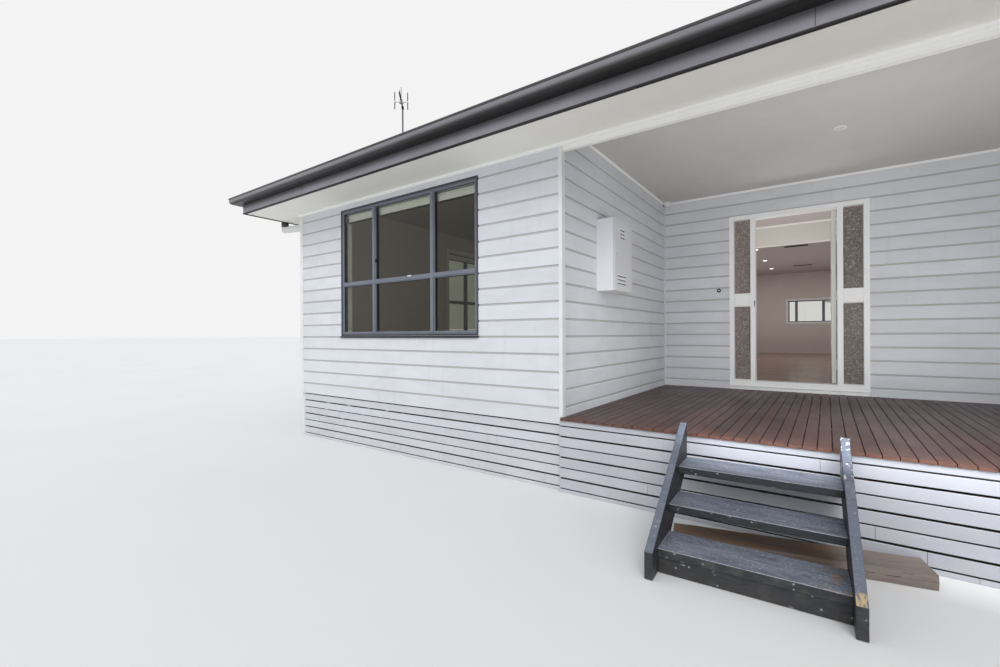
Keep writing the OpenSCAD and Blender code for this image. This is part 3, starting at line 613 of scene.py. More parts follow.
def place_piece(name, mesh, body, edge, curved, stands_for):
    """Turns the faces outwards, softens the edges and puts the piece on its body."""
    work = bmesh.new()
    work.from_mesh(mesh)
    bmesh.ops.recalc_face_normals(work, faces=work.faces)
    work.to_mesh(mesh)
    work.free()
    if curved or edge:
        mesh.polygons.foreach_set("use_smooth", [True] * len(mesh.polygons))
        mesh.set_sharp_from_angle(angle=radians(36))
    piece = bpy.data.objects.new(name, mesh)
    scene.collection.objects.link(piece)
    if edge:
        soft = piece.modifiers.new("Soft edges", "BEVEL")
        soft.width = edge
        soft.segments = 2
        soft.limit_method = "ANGLE"
        soft.angle_limit = radians(45)
        soft.harden_normals = True
        # Pieces named worn take their second finish on the bevels, which carries wear and a painted
        # highlight on the tread edges
        soft.material = 1 if len(mesh.materials) > 1 and name.endswith("worn") else -1
    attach(piece, body)
    if stands_for:
        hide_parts(stands_for)
    return piece


def dressed(node, slot, *materials, body="house", edge=0.003, worn=False):
    """The node's own shape with its flat faces joined and its edges softened."""
    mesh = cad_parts[node].data.copy()
    mesh.materials.clear()
    for material in materials:
        mesh.materials.append(material)
    work = bmesh.new()
    work.from_mesh(mesh)
    bmesh.ops.remove_doubles(work, verts=work.verts, dist=0.00001)
    bmesh.ops.dissolve_limit(work, angle_limit=radians(0.5), verts=work.verts, edges=work.edges)
    work.to_mesh(mesh)
    work.free()
    mesh.polygons.foreach_set("material_index", [0] * len(mesh.polygons))
    name = node + ("_worn" if worn else "_dressed")
    return place_piece(name, mesh, body, edge, False, node)


def keep(node, material):
    """A node whose shape is right gets its finish."""
    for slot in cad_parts[node].material_slots:
        slot.material = material


def free_spans(low, high, taken):
    """What is left of low to high between the taken stretches."""
    spans = []
    at = low
    for start, end in sorted(taken):
        if start > at:
            spans.append((at, min(start, high)))
        at = max(at, end)
    if at < high:
        spans.append((at, high))
    return spans


def lines_between(line, pitch, low, high):
    """Joint levels from low to high, both included."""
    first = ceil((low + 0.02 - line) / pitch)
    last = floor((high - 0.02 - line) / pitch)
    return [low] + [line + pitch * i for i in range(first, last + 1)] + [high]


def butt_joints(x0, x1, longest):
    """Cuts a long run of boards at random places into lengths that can be bought."""
    cuts = [x0]
    while x1 - cuts[-1] > longest:
        cuts.append(cuts[-1] + random.uniform(0.5, 1.0) * longest)
    return list(zip(cuts, cuts[1:] + [x1]))


def bands(low, high, holes):
    """Bands of height between the edges of holes (x0, x1, z0, z1), each with the widths they take."""
    cuts = sorted({low, high, *(z for hole in holes for z in hole[2:] if low < z < high)})
    return [(a, b, [hole[:2] for hole in holes if hole[2] < b - 0.001 and hole[3] > a + 0.001])
            for a, b in zip(cuts, cuts[1:])]


def weatherboards(name, place, x0, x1, high, holes=(), pitch=BOARD_PITCH, line=BOARD_LINE, paint=None):
    """Boards on one wall, clear of the holes, over a grey sheet of painted shade that shows in the joints.
    """
    solids = Solids()
    levels = lines_between(line, pitch, WALL_LOW, high)
    for z0, z1 in zip(levels, levels[1:]):
        foot = z0 + (BOARD_GAP / 2 if z0 > WALL_LOW else 0)
        head = z1 - (BOARD_GAP / 2 if z1 < high else 0)
        front = -BOARD_T - random.uniform(-0.0005, 0.0005)
        for a, b, taken in bands(foot, head, holes):
            low_edge = BOARD_EDGE if a == foot else 0
            high_edge = BOARD_EDGE if b == head else 0
            outline = [(0, a), (front + low_edge, a), (front, a + low_edge),
                       (front, b - high_edge), (front + high_edge, b), (0, b)]
            outline = [p for i, p in enumerate(outline) if p != outline[i - 1]]
            for start, end in free_spans(x0, x1, taken):
                for left, right in butt_joints(start, end, LONGEST_BOARD):
                    solids.extrude(outline, left, right - (BUTT_GAP if right < end else 0), 0, place)
    # The sheet behind the boards: grey painted shade for the recessed joints
    for a, b, taken in bands(WALL_LOW + 0.004, high, holes):
        for start, end in free_spans(x0, x1, taken):
            solids.block((start, -0.0015, a), (end, 0, b), 1, place)
    solids.build(name, "painted_boards", paint or BOARDS, JOINT_SHADE_SHEET)


def slats(solids, place, x0, x1, face, high, joints=None):
    """Level slats, bare and dark behind their painted faces as painted shade in the gaps, with open gaps on
    upright battens.

    face is their local Y, joints the butt joints of each row.
    """
    edge = 0.002
    levels = lines_between(SLAT_LINE, SLAT_PITCH, 0.0, high)
    for i, (z0, z1) in enumerate(zip(levels, levels[1:])):
        a = z0 + (SLAT_GAPS[i % 2] / 2 if i else 0)
        b = z1 - (SLAT_GAPS[(i + 1) % 2] / 2 if z1 < high else 0)
        out = face + random.uniform(-0.001, 0.001)
        skin = [(out + SLAT_SKIN, a), (out + edge, a), (out, a + edge), (out, b - edge),
                (out + edge, b), (out + SLAT_SKIN, b)]
        core = [(out + SLAT_SKIN, a), (out + SLAT_SKIN, b), (out + SLAT_T, b), (out + SLAT_T, a)]
        cuts = [x0, *(joints or {}).get(i, ()), x1]
        for left, right in zip(cuts, cuts[1:]) if joints else butt_joints(x0, x1, LONGEST_SLAT):
            end = right - (0.002 if right < x1 else 0)
            solids.extrude(skin, left, end, 0, place)
            # Dark bare core: painted shade on the slats' edges in the gaps
            solids.extrude(core, left, end, 1, place)
    count = max(1, round((x1 - x0) / 0.9))
    for i in range(count + 1):
        x = x0 + 0.03 + (x1 - x0 - 0.06) * i / count
        solids.block((x - 0.022, face + SLAT_T, 0.0), (x + 0.022, face + SLAT_T + 0.004, high), 1, place)


# Camera first

def make_camera():
    data = bpy.data.cameras.new("Camera")
    data.sensor_width = 36.0
    data.lens = LENS
    data.shift_y = HORIZON_SHIFT
    data.clip_end = 1000.0
    camera = bpy.data.objects.new("Camera", data)
    camera.location = EYE
    camera.rotation_euler = (radians(90), radians(ROLL), radians(TURN))
    scene.collection.objects.link(camera)
    scene.camera = camera


make_camera()

BOARDS = painted_timber("wall_boards", (0.72, 0.745, 0.785), 0.5, boards=(BOARD_PITCH, BOARD_LINE))
BACK_BOARDS = painted_timber("porch_back_boards", (0.72, 0.745, 0.785), 0.5, boards=(BACK_PITCH, BACK_LINE))
SLAT_ROWS = (SLAT_PITCH, SLAT_LINE)
SLATS = painted_timber("base_slats", (0.64, 0.66, 0.71), 0.55, boards=SLAT_ROWS, grime=0.08)
# Darker copy of the base slats' paint: painted shade on the deck's skirting
SKIRTING_SHADE = painted_timber("skirting_slats", (0.54, 0.555, 0.61), 0.55, boards=SLAT_ROWS, grime=0.08)
# Grey sheet in the joints: painted shade for the recess
JOINT_SHADE_SHEET = smooth_paint("joint_painted_shade", (0.50, 0.495, 0.49), 0.8)
# Dark bare timber for the slat cores and battens, also painted shade in the gaps
BATTEN_AND_GAP_SHADE = weathered_timber("dark_batten_gap_shade", (0.09, 0.07, 0.055), (9, 9, 1)).done()
TRIM = smooth_paint("white_trim", (0.80, 0.80, 0.79), 0.42)
# A whiter white than the trim, partly painted light on the beam face and the bead under the eave
BEAM_PAINT_LIT = smooth_paint("beam_paint", (0.94, 0.935, 0.90), 0.42, 0.03)
DOOR_TRIM = smooth_paint("door_trim", (0.92, 0.925, 0.92), 0.42, 0.03)
TRIM_TIMBER = painted_timber("trim_timber", (0.79, 0.80, 0.81), 0.45, UPRIGHT_GRAIN)
# Soffit paint raised as painted light under the eave
SOFFIT_PAINT_LIT = smooth_paint("soffit_paint", (0.92, 0.90, 0.83), 0.6, 0.03)
# White ceiling paint darkened to grey: painted shade in the porch
PORCH_CEILING_SHADE = smooth_paint("porch_ceiling_painted_shade", (0.62, 0.60, 0.575), 0.6, 0.05)
LINING = smooth_paint("room_lining", (0.62, 0.56, 0.535), 0.7, 0.04)
CEILING_PAINT = smooth_paint("room_ceiling_paint", (0.43, 0.385, 0.38), 0.75, 0.03)
PALE_BEAM = smooth_paint("ceiling_beam_paint", (0.76, 0.76, 0.72), 0.6, 0.03)
ROOF_STEEL = coated_steel("roof_steel", (0.055, 0.055, 0.060), 0.45, 0.08).done()
GUTTER_LIP = coated_steel("gutter_lip", (0.050, 0.048, 0.052), 0.36, 0.25).done()
GUTTER_STEEL = gutter_steel()
FASCIA_STEEL = fascia_steel()
WINDOW_METAL = powder_coat("window_frame", (0.165, 0.182, 0.225))
# Darker copy of the frame's powder coat: painted shade on the frame's outer band
WINDOW_EDGE_SHADE = powder_coat("window_frame_edge_painted_shade", (0.075, 0.082, 0.102))
SEAL = smooth_paint("black_seal", (0.015, 0.015, 0.017), 0.6)
BLIND = smooth_paint("blind_cloth", (0.84, 0.87, 0.88), 0.85)
GLASS = clear_glass()
OBSCURE = obscure_glass()
FLOORING = polished_floor()
DECK = deck_timber()
STEPS = step_paint("step_paint", 0.0)
# Stringers: little dust, and a plain painted sky light on their tops
STRINGERS = step_paint("stringer_paint", 0.0, 0.35)
# Bevels on the treads' edges: wear and a painted highlight
STEP_EDGES_LIT = step_paint("step_edges", 0.07)
SLEEPER = sleeper_timber()
STUMP = weathered_timber("stump_timber", (0.15, 0.12, 0.10), (9, 9, 1)).done()
METER = smooth_paint("meter_steel", (0.80, 0.81, 0.83), 0.4, 0.04)
# Darker copy of the box's paint: painted shade on the cover's side face
METER_COVER_SHADE = smooth_paint("meter_cover_painted_shade", (0.64, 0.65, 0.67), 0.4, 0.04)
# Paler paint for the hoods and the seal: painted highlight
METER_HIGHLIGHT = smooth_paint("meter_painted_highlights", (0.90, 0.90, 0.89), 0.4, 0.02)
PLASTIC = smooth_paint("white_plastic", (0.78, 0.78, 0.77), 0.3, 0.02)
PIPE = smooth_paint("white_pipe", (0.76, 0.76, 0.75), 0.4, 0.06)
DARK_SLOT = smooth_paint("dark_slots", (0.02, 0.02, 0.022), 0.5)
SATIN_STEEL = plain_metal("satin_steel", (0.60, 0.60, 0.62), 0.3, 1.0)
SCREW = plain_metal("screw_heads", (0.20, 0.17, 0.15), 0.45, 0.8)
ROOF_SCREW = coated_steel("roof_screws", (0.085, 0.085, 0.09), 0.5, 0.2).done()
ANTENNA = plain_metal("antenna_metal", (0.11, 0.12, 0.15), 0.45, 0.4)
ANTENNA_BOOM = plain_metal("antenna_boom", (0.03, 0.033, 0.04), 0.5, 0.2)
LAMP = glowing("lit_lamp", (1.0, 0.93, 0.82), 4.0)
DOOR_PAINT = smooth_paint("door_paint", (0.80, 0.83, 0.78), 0.4, 0.03)
LAMP_OFF = smooth_paint("lamp_lens", (0.70, 0.70, 0.66), 0.15, 0.02)


# Walls

def window_hole(centre):
    return (centre - WINDOW_W / 2, centre + WINDOW_W / 2, WINDOW_LOW, WINDOW_LOW + WINDOW_H)


def cover_walls():
    bay_hole = [window_hole(BAY_W / 2)]
    weatherboards("boards_front_left", FRONT_LEFT, TRIM_W, BAY_W - PORCH_TRIM_W, SOFFIT, bay_hole)
    weatherboards("boards_front_right", FRONT_RIGHT, PORCH_TRIM_W, BAY_W - TRIM_W, SOFFIT, bay_hole)
    side_holes = [window_hole(SIDE_WINDOW), window_hole(DEPTH - SIDE_WINDOW)]
    weatherboards("boards_left", LEFT_SIDE, TRIM_W, DEPTH - TRIM_W, SOFFIT, side_holes)
    weatherboards("boards_right", RIGHT_SIDE, TRIM_W, DEPTH - TRIM_W, SOFFIT, side_holes)
    dining = HALF - DINING_X
    sill = FLOOR + DINING_SILL
    rear_holes = [window_hole(HALF - BAY_MID), window_hole(HALF + BAY_MID),
                  (dining - DINING_W / 2, dining + DINING_W / 2, sill, sill + DINING_H)]
    weatherboards("boards_rear", REAR_SIDE, TRIM_W, 2 * HALF - TRIM_W, SOFFIT, rear_holes)
    corner = TRIM_W + 0.001
    beam = porch_beam_high.y
    left_holes = [(meter_low.y, meter_high.y, meter_low.z, meter_high.z),
                  (0, beam, porch_beam_low.z, WALL_TOP)]
    weatherboards("boards_porch_left", PORCH_LEFT, corner, PORCH_D - STOP_W, PORCH_TOP, left_holes)
    right_holes = [(PORCH_D - beam, PORCH_D, porch_beam_low.z, WALL_TOP)]
    weatherboards("boards_porch_right", PORCH_RIGHT, STOP_W, PORCH_D - corner, PORCH_TOP, right_holes)
    door_hole = [(frame_low.x + PORCH, frame_high.x + PORCH, WALL_LOW, frame_high.z)]
    weatherboards("boards_porch_back", PORCH_BACK, STOP_W, 2 * PORCH - STOP_W, PORCH_TOP, door_hole,
                  BACK_PITCH, BACK_LINE, BACK_BOARDS)
    for node in ("front_wall_left", "front_wall_right", "porch_wall_left", "porch_wall_right",
                 "door_wall_left", "door_wall_right", "door_wall_head",
                 "left_wall", "right_wall", "rear_wall"):
        keep(node, LINING)


def inside_corner_stops():
    """Square upright stops where the porch's side walls meet the door wall."""
    solids = Solids()
    for side in (-1, 1):
        x = sorted((side * PORCH, side * (PORCH - STOP_W)))
        solids.block((x[0], PORCH_D - STOP_W, deck_high.z), (x[1], PORCH_D, PORCH_TOP))
    solids.build("inside_corner_stops", "painted_boards", BOARDS, edge=0.002)


def base_slats():
    solids = Solids()
    top = WALL_LOW - 0.014
    inset = BASE_OUT + SLAT_T
    for place, x0, x1 in ((FRONT_LEFT, 0.03, BAY_W - 0.005), (FRONT_RIGHT, 0.005, BAY_W - 0.03),
                          (LEFT_SIDE, inset, DEPTH - inset), (RIGHT_SIDE, inset, DEPTH - inset),
                          (REAR_SIDE, 0.03, 2 * HALF - 0.03)):
        slats(solids, place, x0, x1, BASE_OUT, top)
    solids.build("base_slats", "painted_boards", SLATS, BATTEN_AND_GAP_SHADE, stands_for="base_boards")


def deck_skirting():
    """The skirting's slats, with the places where lengths meet, counted from the lowest slat."""
    solids = Solids()
    joints = {0: [0.54], 1: [-0.85, 0.34], 2: [-1.18, 0.12], 6: [-0.136]}
    slats(solids, facing(0, 0, 0), -PORCH, PORCH, skirt_low.y, skirt_high.z, joints=joints)
    # Skirting slats in the darker copy of the slat paint: painted shade
    solids.build("skirting_slats", "painted_boards", SKIRTING_SHADE, BATTEN_AND_GAP_SHADE, stands_for="deck_skirting")


cover_walls()
inside_corner_stops()
base_slats()
deck_skirting()
dressed("corner_trims", "white_trim", TRIM_TIMBER, edge=0.002)


# Deck and steps

def deck_boards():
    """Boards that run from front to back, with two screws in each over every joist."""
    solids = Solids()
    joists = [deck_low.y + 0.07 + (PORCH_D - deck_low.y - 0.14) * i / 6 for i in range(7)]
    edge = 0.0025
    for i in range(DECK_COUNT):
        x0 = -DECK_X + i * DECK_PITCH + DECK_GAP / 2
        x1 = x0 + DECK_PITCH - DECK_GAP
        top = deck_high.z - random.uniform(0, 0.0012)
        start = deck_low.y + random.uniform(0, 0.004)
        outline = [(x0, deck_low.z), (x1, deck_low.z), (x1, top - edge), (x1 - edge, top),
                   (x0 + edge, top), (x0, top - edge)]
        solids.loops([[(x, y, z) for x, z in outline] for y in (start, PORCH_D - 0.012)])
        for y in joists:
            for x in (x0 + 0.014, x1 - 0.014):
                spot = move(x, y + random.uniform(-0.006, 0.006), top)
                solids.lathe([(0.0035, -0.002), (0.0035, 0.0004)], 1, spot, 8)
    solids.build("deck_boards", "deck_boards", DECK, SCREW, stands_for="deck")


def worn_sleeper():
    """The old sleeper behind the steps, with rounded and eaten edges, drawn from its rear right corner."""
    high = sleeper_high
    place = move(high.x - SLEEPER_D * sin(radians(SLEEPER_TURN)), high.y, 0) @ spin(SLEEPER_TURN, "Z")
    solids = Solids()
    count, across, up = 60, 12, 5
    outline = [(-SLEEPER_D + SLEEPER_D * k / across, 0) for k in range(across)]
    outline += [(0, high.z * k / up) for k in range(up)]
    outline += [(-SLEEPER_D * k / across, high.z) for k in range(across)]
    outline += [(-SLEEPER_D, high.z - high.z * k / up) for k in range(up)]
    middle = Vector((-SLEEPER_D / 2, high.z / 2))
    rings = []
    for i in range(count + 1):
        x = -SLEEPER_L + SLEEPER_L * i / count
        ring = []
        for y, z in outline:
            near_corner = min(-y, y + SLEEPER_D) + min(z, high.z - z)
            pitted = 0.004 * abs(noise.noise((x * 9, y * 30, z * 30)))
            eaten = 0.006 * max(0, 1 - near_corner / 0.03) + pitted
            inward = (middle - Vector((y, z))).normalized() * eaten
            ring.append((x, y + inward.x, max(0.0, z + inward.y)))
        rings.append(ring)
    solids.loops(rings, 0, place)
    solids.build("sleeper_worn_timber", "weathered_timber", SLEEPER, curved=True, stands_for="sleeper")


def step_screws():
    """Screw heads in the stringers' outer faces at each tread, turned with the steps."""
    solids = Solids()
    right_end = stringer_low.x + STEPS_W * cos(radians(STEPS_TURN))
    steps = move(right_end, deck_low.y, 0) @ spin(STEPS_TURN, "Z")
    top_tread = skirt_low.y - deck_low.y - 0.012 - TREAD_D
    for i in range(3):
        z = deck_high.z - (i + 1) * RISE - TREAD_T / 2
        for y in (0.07, 0.20):
            for x, side in ((-STEPS_W, -90), (0, 90)):
                spot = steps @ move(x, top_tread - i * GOING + y, z) @ spin(side, "Y")
                solids.lathe([(0.006, -0.002), (0.006, 0.0008), (0.004, 0.0016)], 0, spot, 12)
    solids.build("step_screws", "door_metal", SCREW, curved=True)


deck_boards()
worn_sleeper()
step_screws()
for step_part in ("stringers", "treads", "bottom_riser"):
    paints = (STRINGERS, STRINGERS) if step_part == "stringers" else (STEPS, STEP_EDGES_LIT)
    dressed(step_part, "step_paint", *paints, edge=0.004, worn=True)


# Windows

def frame_ring(solids, place, x0, x1, z0, z1, outline, kind):
    """A mitred upright ring: outline holds (outwards from the rectangle, proud of the wall) pairs."""
    path = [(x0, z0), (x1, z0), (x1, z1), (x0, z1)]
    solids.run(path, outline, kind, place @ UPRIGHT, closed=True)


def window(solids, place, w, h, side_light, transom):
    """One window unit, drawn from its foot's middle: frame, sashes, seals, sill, lining and blinds."""
    half = w / 2

    def around(kind, *outline):
        frame_ring(solids, place, -half, half, 0, h, outline, kind)

    back, edge = -FRAME_IN, -0.014
    # Outer band in the darker copy of the frame's coat: painted shade
    around(4, (0, back), (0, 0.008), (-0.004, 0.012), (-0.012, 0.012), (edge, 0.002), (edge, back))
    around(0, (edge, back), (edge, 0.002), (-0.020, 0.002), (-0.022, 0.007), (-FRAME_W + 0.003, 0.007),
           (-FRAME_W, 0.004), (-FRAME_W, back))
    around(1, (0, 0.0005), (0.005, 0.0005), (0.005, 0.0105), (0, 0.0105))
    columns = [-half + FRAME_W, -half + side_light, half - side_light, half - FRAME_W]
    rows = [FRAME_W, transom, h - FRAME_W] if transom else [FRAME_W, h - FRAME_W]
    for i, (c0, c1) in enumerate(zip(columns, columns[1:])):
        x0 = c0 + (BAR_HALF if i else 0)
        x1 = c1 - (BAR_HALF if i < 2 else 0)
        for j, (r0, r1) in enumerate(zip(rows, rows[1:])):
            z0 = r0 + (RAIL_HALF if j else 0)
            z1 = r1 - (RAIL_HALF if j < len(rows) - 2 else 0)
            proud = 0.006 if j or i == 1 else 0.003
            sash = [(0, -SASH_IN), (0, proud - 0.001), (-0.001, proud), (-SASH_W + 0.003, proud),
                    (-SASH_W, proud - 0.004), (-SASH_W, -SASH_IN)]
            seal = [(-SASH_W, -0.010), (-SASH_W, -GLASS_IN), (-SASH_W - 0.004, -GLASS_IN),
                    (-SASH_W - 0.004, -0.012)]
            frame_ring(solids, place, x0, x1, z0, z1, sash, 0)
            frame_ring(solids, place, x0, x1, z0, z1, seal, 1)
        if transom:
            pleated_blind(solids, place, c0 + 0.012, c1 - 0.012, h - FRAME_W - SASH_W, BLIND_DROP)
    for x in columns[1:3]:
        solids.block((x - BAR_HALF, -BAR_PROUD, FRAME_W), (x + BAR_HALF, SASH_IN, h - FRAME_W), 0, place)
    if transom:
        solids.block((-half + FRAME_W, 0.0005 - BAR_PROUD, transom - RAIL_HALF),
                     (half - FRAME_W, SASH_IN, transom + RAIL_HALF), 0, place)
        catch = columns[1] + BAR_HALF
        solids.block((catch + 0.003, -0.006, transom + 0.22),
                     (catch + 0.017, 0.010, transom + 0.26), 1, place)
        solids.block((0.105, -BAR_PROUD - 0.006, transom + RAIL_HALF + 0.001),
                     (0.155, -0.004, transom + RAIL_HALF + 0.012), 3, place)
    sill = [(0.020, -0.002), (-0.030, -0.014), (-0.034, -0.018), (-0.034, -0.024),
            (-0.006, -0.018), (0.020, -0.016)]
    solids.extrude(sill, -half - 0.008, half + 0.008, 1, place)
    inner, outer = -WALL_T - 0.001, -FRAME_IN - 0.0001
    around(2, (0, outer), (0, inner), (-0.018, inner), (-0.018, outer))
    around(2, (0.045, -WALL_T), (0.045, -WALL_T - 0.014), (-0.016, -WALL_T - 0.014), (-0.016, -WALL_T))


def pleated_blind(solids, place, x0, x1, top, drop):
    """A pleated blind pulled up under the head of one light."""
    pleats = 5
    front, back = 0.070, 0.096
    step = (drop - 0.018) / pleats
    outer = [(front, top)]
    inner = [(back, top)]
    for i in range(pleats):
        outer += [(front - 0.006, top - (i + 0.5) * step), (front, top - (i + 1) * step)]
        inner += [(back + 0.006, top - (i + 0.5) * step), (back, top - (i + 1) * step)]
    foot = top - drop
    outline = outer + [(front - 0.002, foot), (back + 0.002, foot)] + inner[::-1]
    solids.extrude(outline, x0, x1, 3, place)
    solids.block((x0, front - 0.004, foot - 0.010), (x1, back + 0.004, foot), 1, place)


def all_windows():
    looks = (WINDOW_METAL, SEAL, TRIM, BLIND, WINDOW_EDGE_SHADE)
    places = {"front": [(FRONT_LEFT, BAY_W / 2), (FRONT_RIGHT, BAY_W / 2)],
              "side": [(wall, x) for wall in (LEFT_SIDE, RIGHT_SIDE)
                       for x in (SIDE_WINDOW, DEPTH - SIDE_WINDOW)],
              "rear": [(REAR_SIDE, HALF - BAY_MID), (REAR_SIDE, HALF + BAY_MID)]}
    for name, spots in places.items():
        solids = Solids()
        for wall, x in spots:
            window(solids, wall @ move(x, 0, WINDOW_LOW), WINDOW_W, WINDOW_H, SIDE_LIGHT, TRANSOM)
        if name == "rear":
            dining = REAR_SIDE @ move(HALF - DINING_X, 0, FLOOR + DINING_SILL)
            window(solids, dining, DINING_W, DINING_H, DINING_LIGHT, 0)
        solids.build(name + "_window_units", "window_frame", *looks, stands_for=name + "_windows")
    keep("window_glass", GLASS)


all_windows()


# Eaves and roof

def corners(out):
    """The house's outline in plan, moved out by the distance given."""
    return [(-HALF - out, -out), (HALF + out, -out), (HALF + out, DEPTH + out), (-HALF - out, DEPTH + out)]


def gutter():
    """Channel with a rounded underside and a rolled front lip, in folded sheet."""
    w, h, r, t = -gutter_low.y - EAVE, gutter_high.z - gutter_low.z, 0.045, 0.003
    arc = [(w - r + r * sin(a), r - r * cos(a)) for a in (radians(11.25 * i) for i in range(9))]
    inner_arc = [(w - r + (r - t) * sin(a), r - (r - t) * cos(a))
                 for a in (radians(11.25 * i) for i in range(7, -1, -1))]
    top = h - 0.020
    channel = [(0, h), (0, 0)] + arc + [(w, top), (w - t, top), (w - t, r)] + inner_arc + [(t, t), (t, h)]
    lip = [(w - t, top - 0.002), (w, top - 0.002), (w + 0.005, top + 0.002), (w + 0.006, h - 0.006),
           (w + 0.001, h), (w - 0.008, h), (w - 0.010, h - 0.006), (w - t, h - 0.010)]
    solids = Solids()
    for kind, outline in enumerate((channel, lip)):
        solids.run(corners(EAVE), [(out, gutter_low.z + z) for out, z in outline], kind, closed=True)
    solids.build("gutter_channel", "gutter_steel", GUTTER_STEEL, GUTTER_LIP, curved=True,
                 stands_for="gutter")


def fascia():
    """Folded fascia with a black drip strip at its foot as painted shade for the shadow line there, and its
    joints.
    """
    low, high, back = fascia_low.z, fascia_high.z, -0.020
    strip = low + 0.013
    board = [(back, high), (back, strip), (0.0, strip), (0.0, high)]
    drip = [(back, strip), (back, low), (-0.016, low), (-0.014, low + 0.002), (0.003, low + 0.002),
            (0.004, low + 0.004), (0.004, strip - 0.001), (0.003, strip)]
    solids = Solids()
    solids.run(corners(EAVE), board, closed=True)
    # Black drip strip: painted shade along the fascia's foot
    solids.run(corners(EAVE), drip, 1, closed=True)
    face = [(0, low + 0.018), (0.0009, low + 0.018), (0.0009, gutter_low.z), (0, gutter_low.z)]
    gap = 0.0015
    side, rear = HALF + EAVE, DEPTH + EAVE
    for x in (-4.9, -0.145, 4.6):
        solids.run([(x - gap, -EAVE), (x + gap, -EAVE)], face, 1)
        solids.run([(x + gap, rear), (x - gap, rear)], face, 1)
    for y in (2.2, 7.0, 11.4):
        solids.run([(side, y - gap), (side, y + gap)], face, 1)
        solids.run([(-side, y + gap), (-side, y - gap)], face, 1)
    solids.build("fascia_boards", "gutter_steel", FASCIA_STEEL, SEAL, stands_for="fascia")


def quarter_bead(size, z, start=0.0):
    """Outline of a quarter-round bead in the corner under level z."""
    arc = [(start + size * cos(a), z - size * sin(a)) for a in (radians(15 * i) for i in range(7))]
    return [(start, z)] + arc


def eave_mouldings():
    """Bead under the soffit round the house, packed out over the porch beam, and the porch's cornice."""
    solids = Solids()
    proud, bead = 0.010, 0.024
    solids.run(corners(0), quarter_bead(bead, SOFFIT, proud), closed=True)
    packing = [(0, SOFFIT), (0, SOFFIT - bead), (proud, SOFFIT - bead), (proud, SOFFIT)]
    solids.run([(-PORCH + PORCH_TRIM_T, 0), (PORCH - PORCH_TRIM_T, 0)], packing)
    y = porch_beam_high.y
    inner = [(-PORCH, y), (-PORCH, PORCH_D), (PORCH, PORCH_D), (PORCH, y)]
    solids.run(inner, quarter_bead(bead, PORCH_TOP), closed=True)
    solids.build("eave_mouldings", "white_trim", BEAM_PAINT_LIT, curved=True)


ROOF_SLOPE = tan(radians(ROOF_PITCH))
ROOF_HALF = -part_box("roof_front")[0].x
ROOF_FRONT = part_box("roof_front")[0].y
ROOF_REAR = DEPTH - ROOF_FRONT
ROOF_EDGE = fascia_high.z - (ROOF_HALF - HALF - EAVE) * ROOF_SLOPE
ROOF_MID = ROOF_EDGE + ROOF_T / cos(radians(ROOF_PITCH)) - WAVE_DEPTH / 2


def roof_sheet(name, place, length, reach):
    """Corrugated sheet on one slope: local X along the eave, local Y up the slope in plan."""
    count = round(length / WAVE_PITCH) * 8
    lower, upper = [], []
    for i in range(count + 1):
        x = -length / 2 + length * i / count
        lift = ROOF_MID + WAVE_DEPTH / 2 * cos(2 * pi * x / WAVE_PITCH)
        far = max(reach(x), 0.001)
        lower.append((x, 0.0, lift))
        upper.append((x, far, lift + far * ROOF_SLOPE))
    n = count + 1
    points = lower + upper
    points += [(x, y, z - SHEET_T) for x, y, z in points]
    faces = []
    for i in range(count):
        faces += [(i, i + 1, n + i + 1, n + i), (2 * n + i, 3 * n + i, 3 * n + i + 1, 2 * n + i + 1),
                  (i, 2 * n + i, 2 * n + i + 1, i + 1), (n + i, n + i + 1, 3 * n + i + 1, 3 * n + i)]
    faces += [(0, n, 3 * n, 2 * n), (count, 2 * n + count, 3 * n + count, n + count)]
    solids = Solids()
    solids.add(points, faces, 0, place)
    screw = [(0.0085, -0.001), (0.0085, 0.0012), (0.0055, 0.0014), (0.0050, 0.0055)]
    for row in range(1, 9):
        y = row * 0.85 - 0.6
        x = -length / 2 + WAVE_PITCH * 2
        while x < length / 2:
            crest = round(x / WAVE_PITCH) * WAVE_PITCH
            if reach(crest) > y + 0.12:
                spot = place @ move(crest, y, ROOF_MID + WAVE_DEPTH / 2 + y * ROOF_SLOPE)
                solids.lathe(screw, 1, spot @ spin(ROOF_PITCH, "X"), 6)
            x += 3 * WAVE_PITCH
    solids.build("roof_sheet_" + name, "roof_steel", ROOF_STEEL, ROOF_SCREW, curved=True,
                 stands_for="roof_" + name)


def roof():
    front_l = 2 * ROOF_HALF
    side_l = ROOF_REAR - ROOF_FRONT

    def hip_reach(x):
        return ROOF_HALF - abs(x)

    def side_reach(x):
        return min(ROOF_HALF, side_l / 2 - abs(x))

    roof_sheet("front", facing(0, 0, ROOF_FRONT), front_l, hip_reach)
    roof_sheet("rear", facing(180, 0, ROOF_REAR), front_l, hip_reach)
    roof_sheet("left", facing(-90, -ROOF_HALF, DEPTH / 2), side_l, side_reach)
    roof_sheet("right", facing(90, ROOF_HALF, DEPTH / 2), side_l, side_reach)


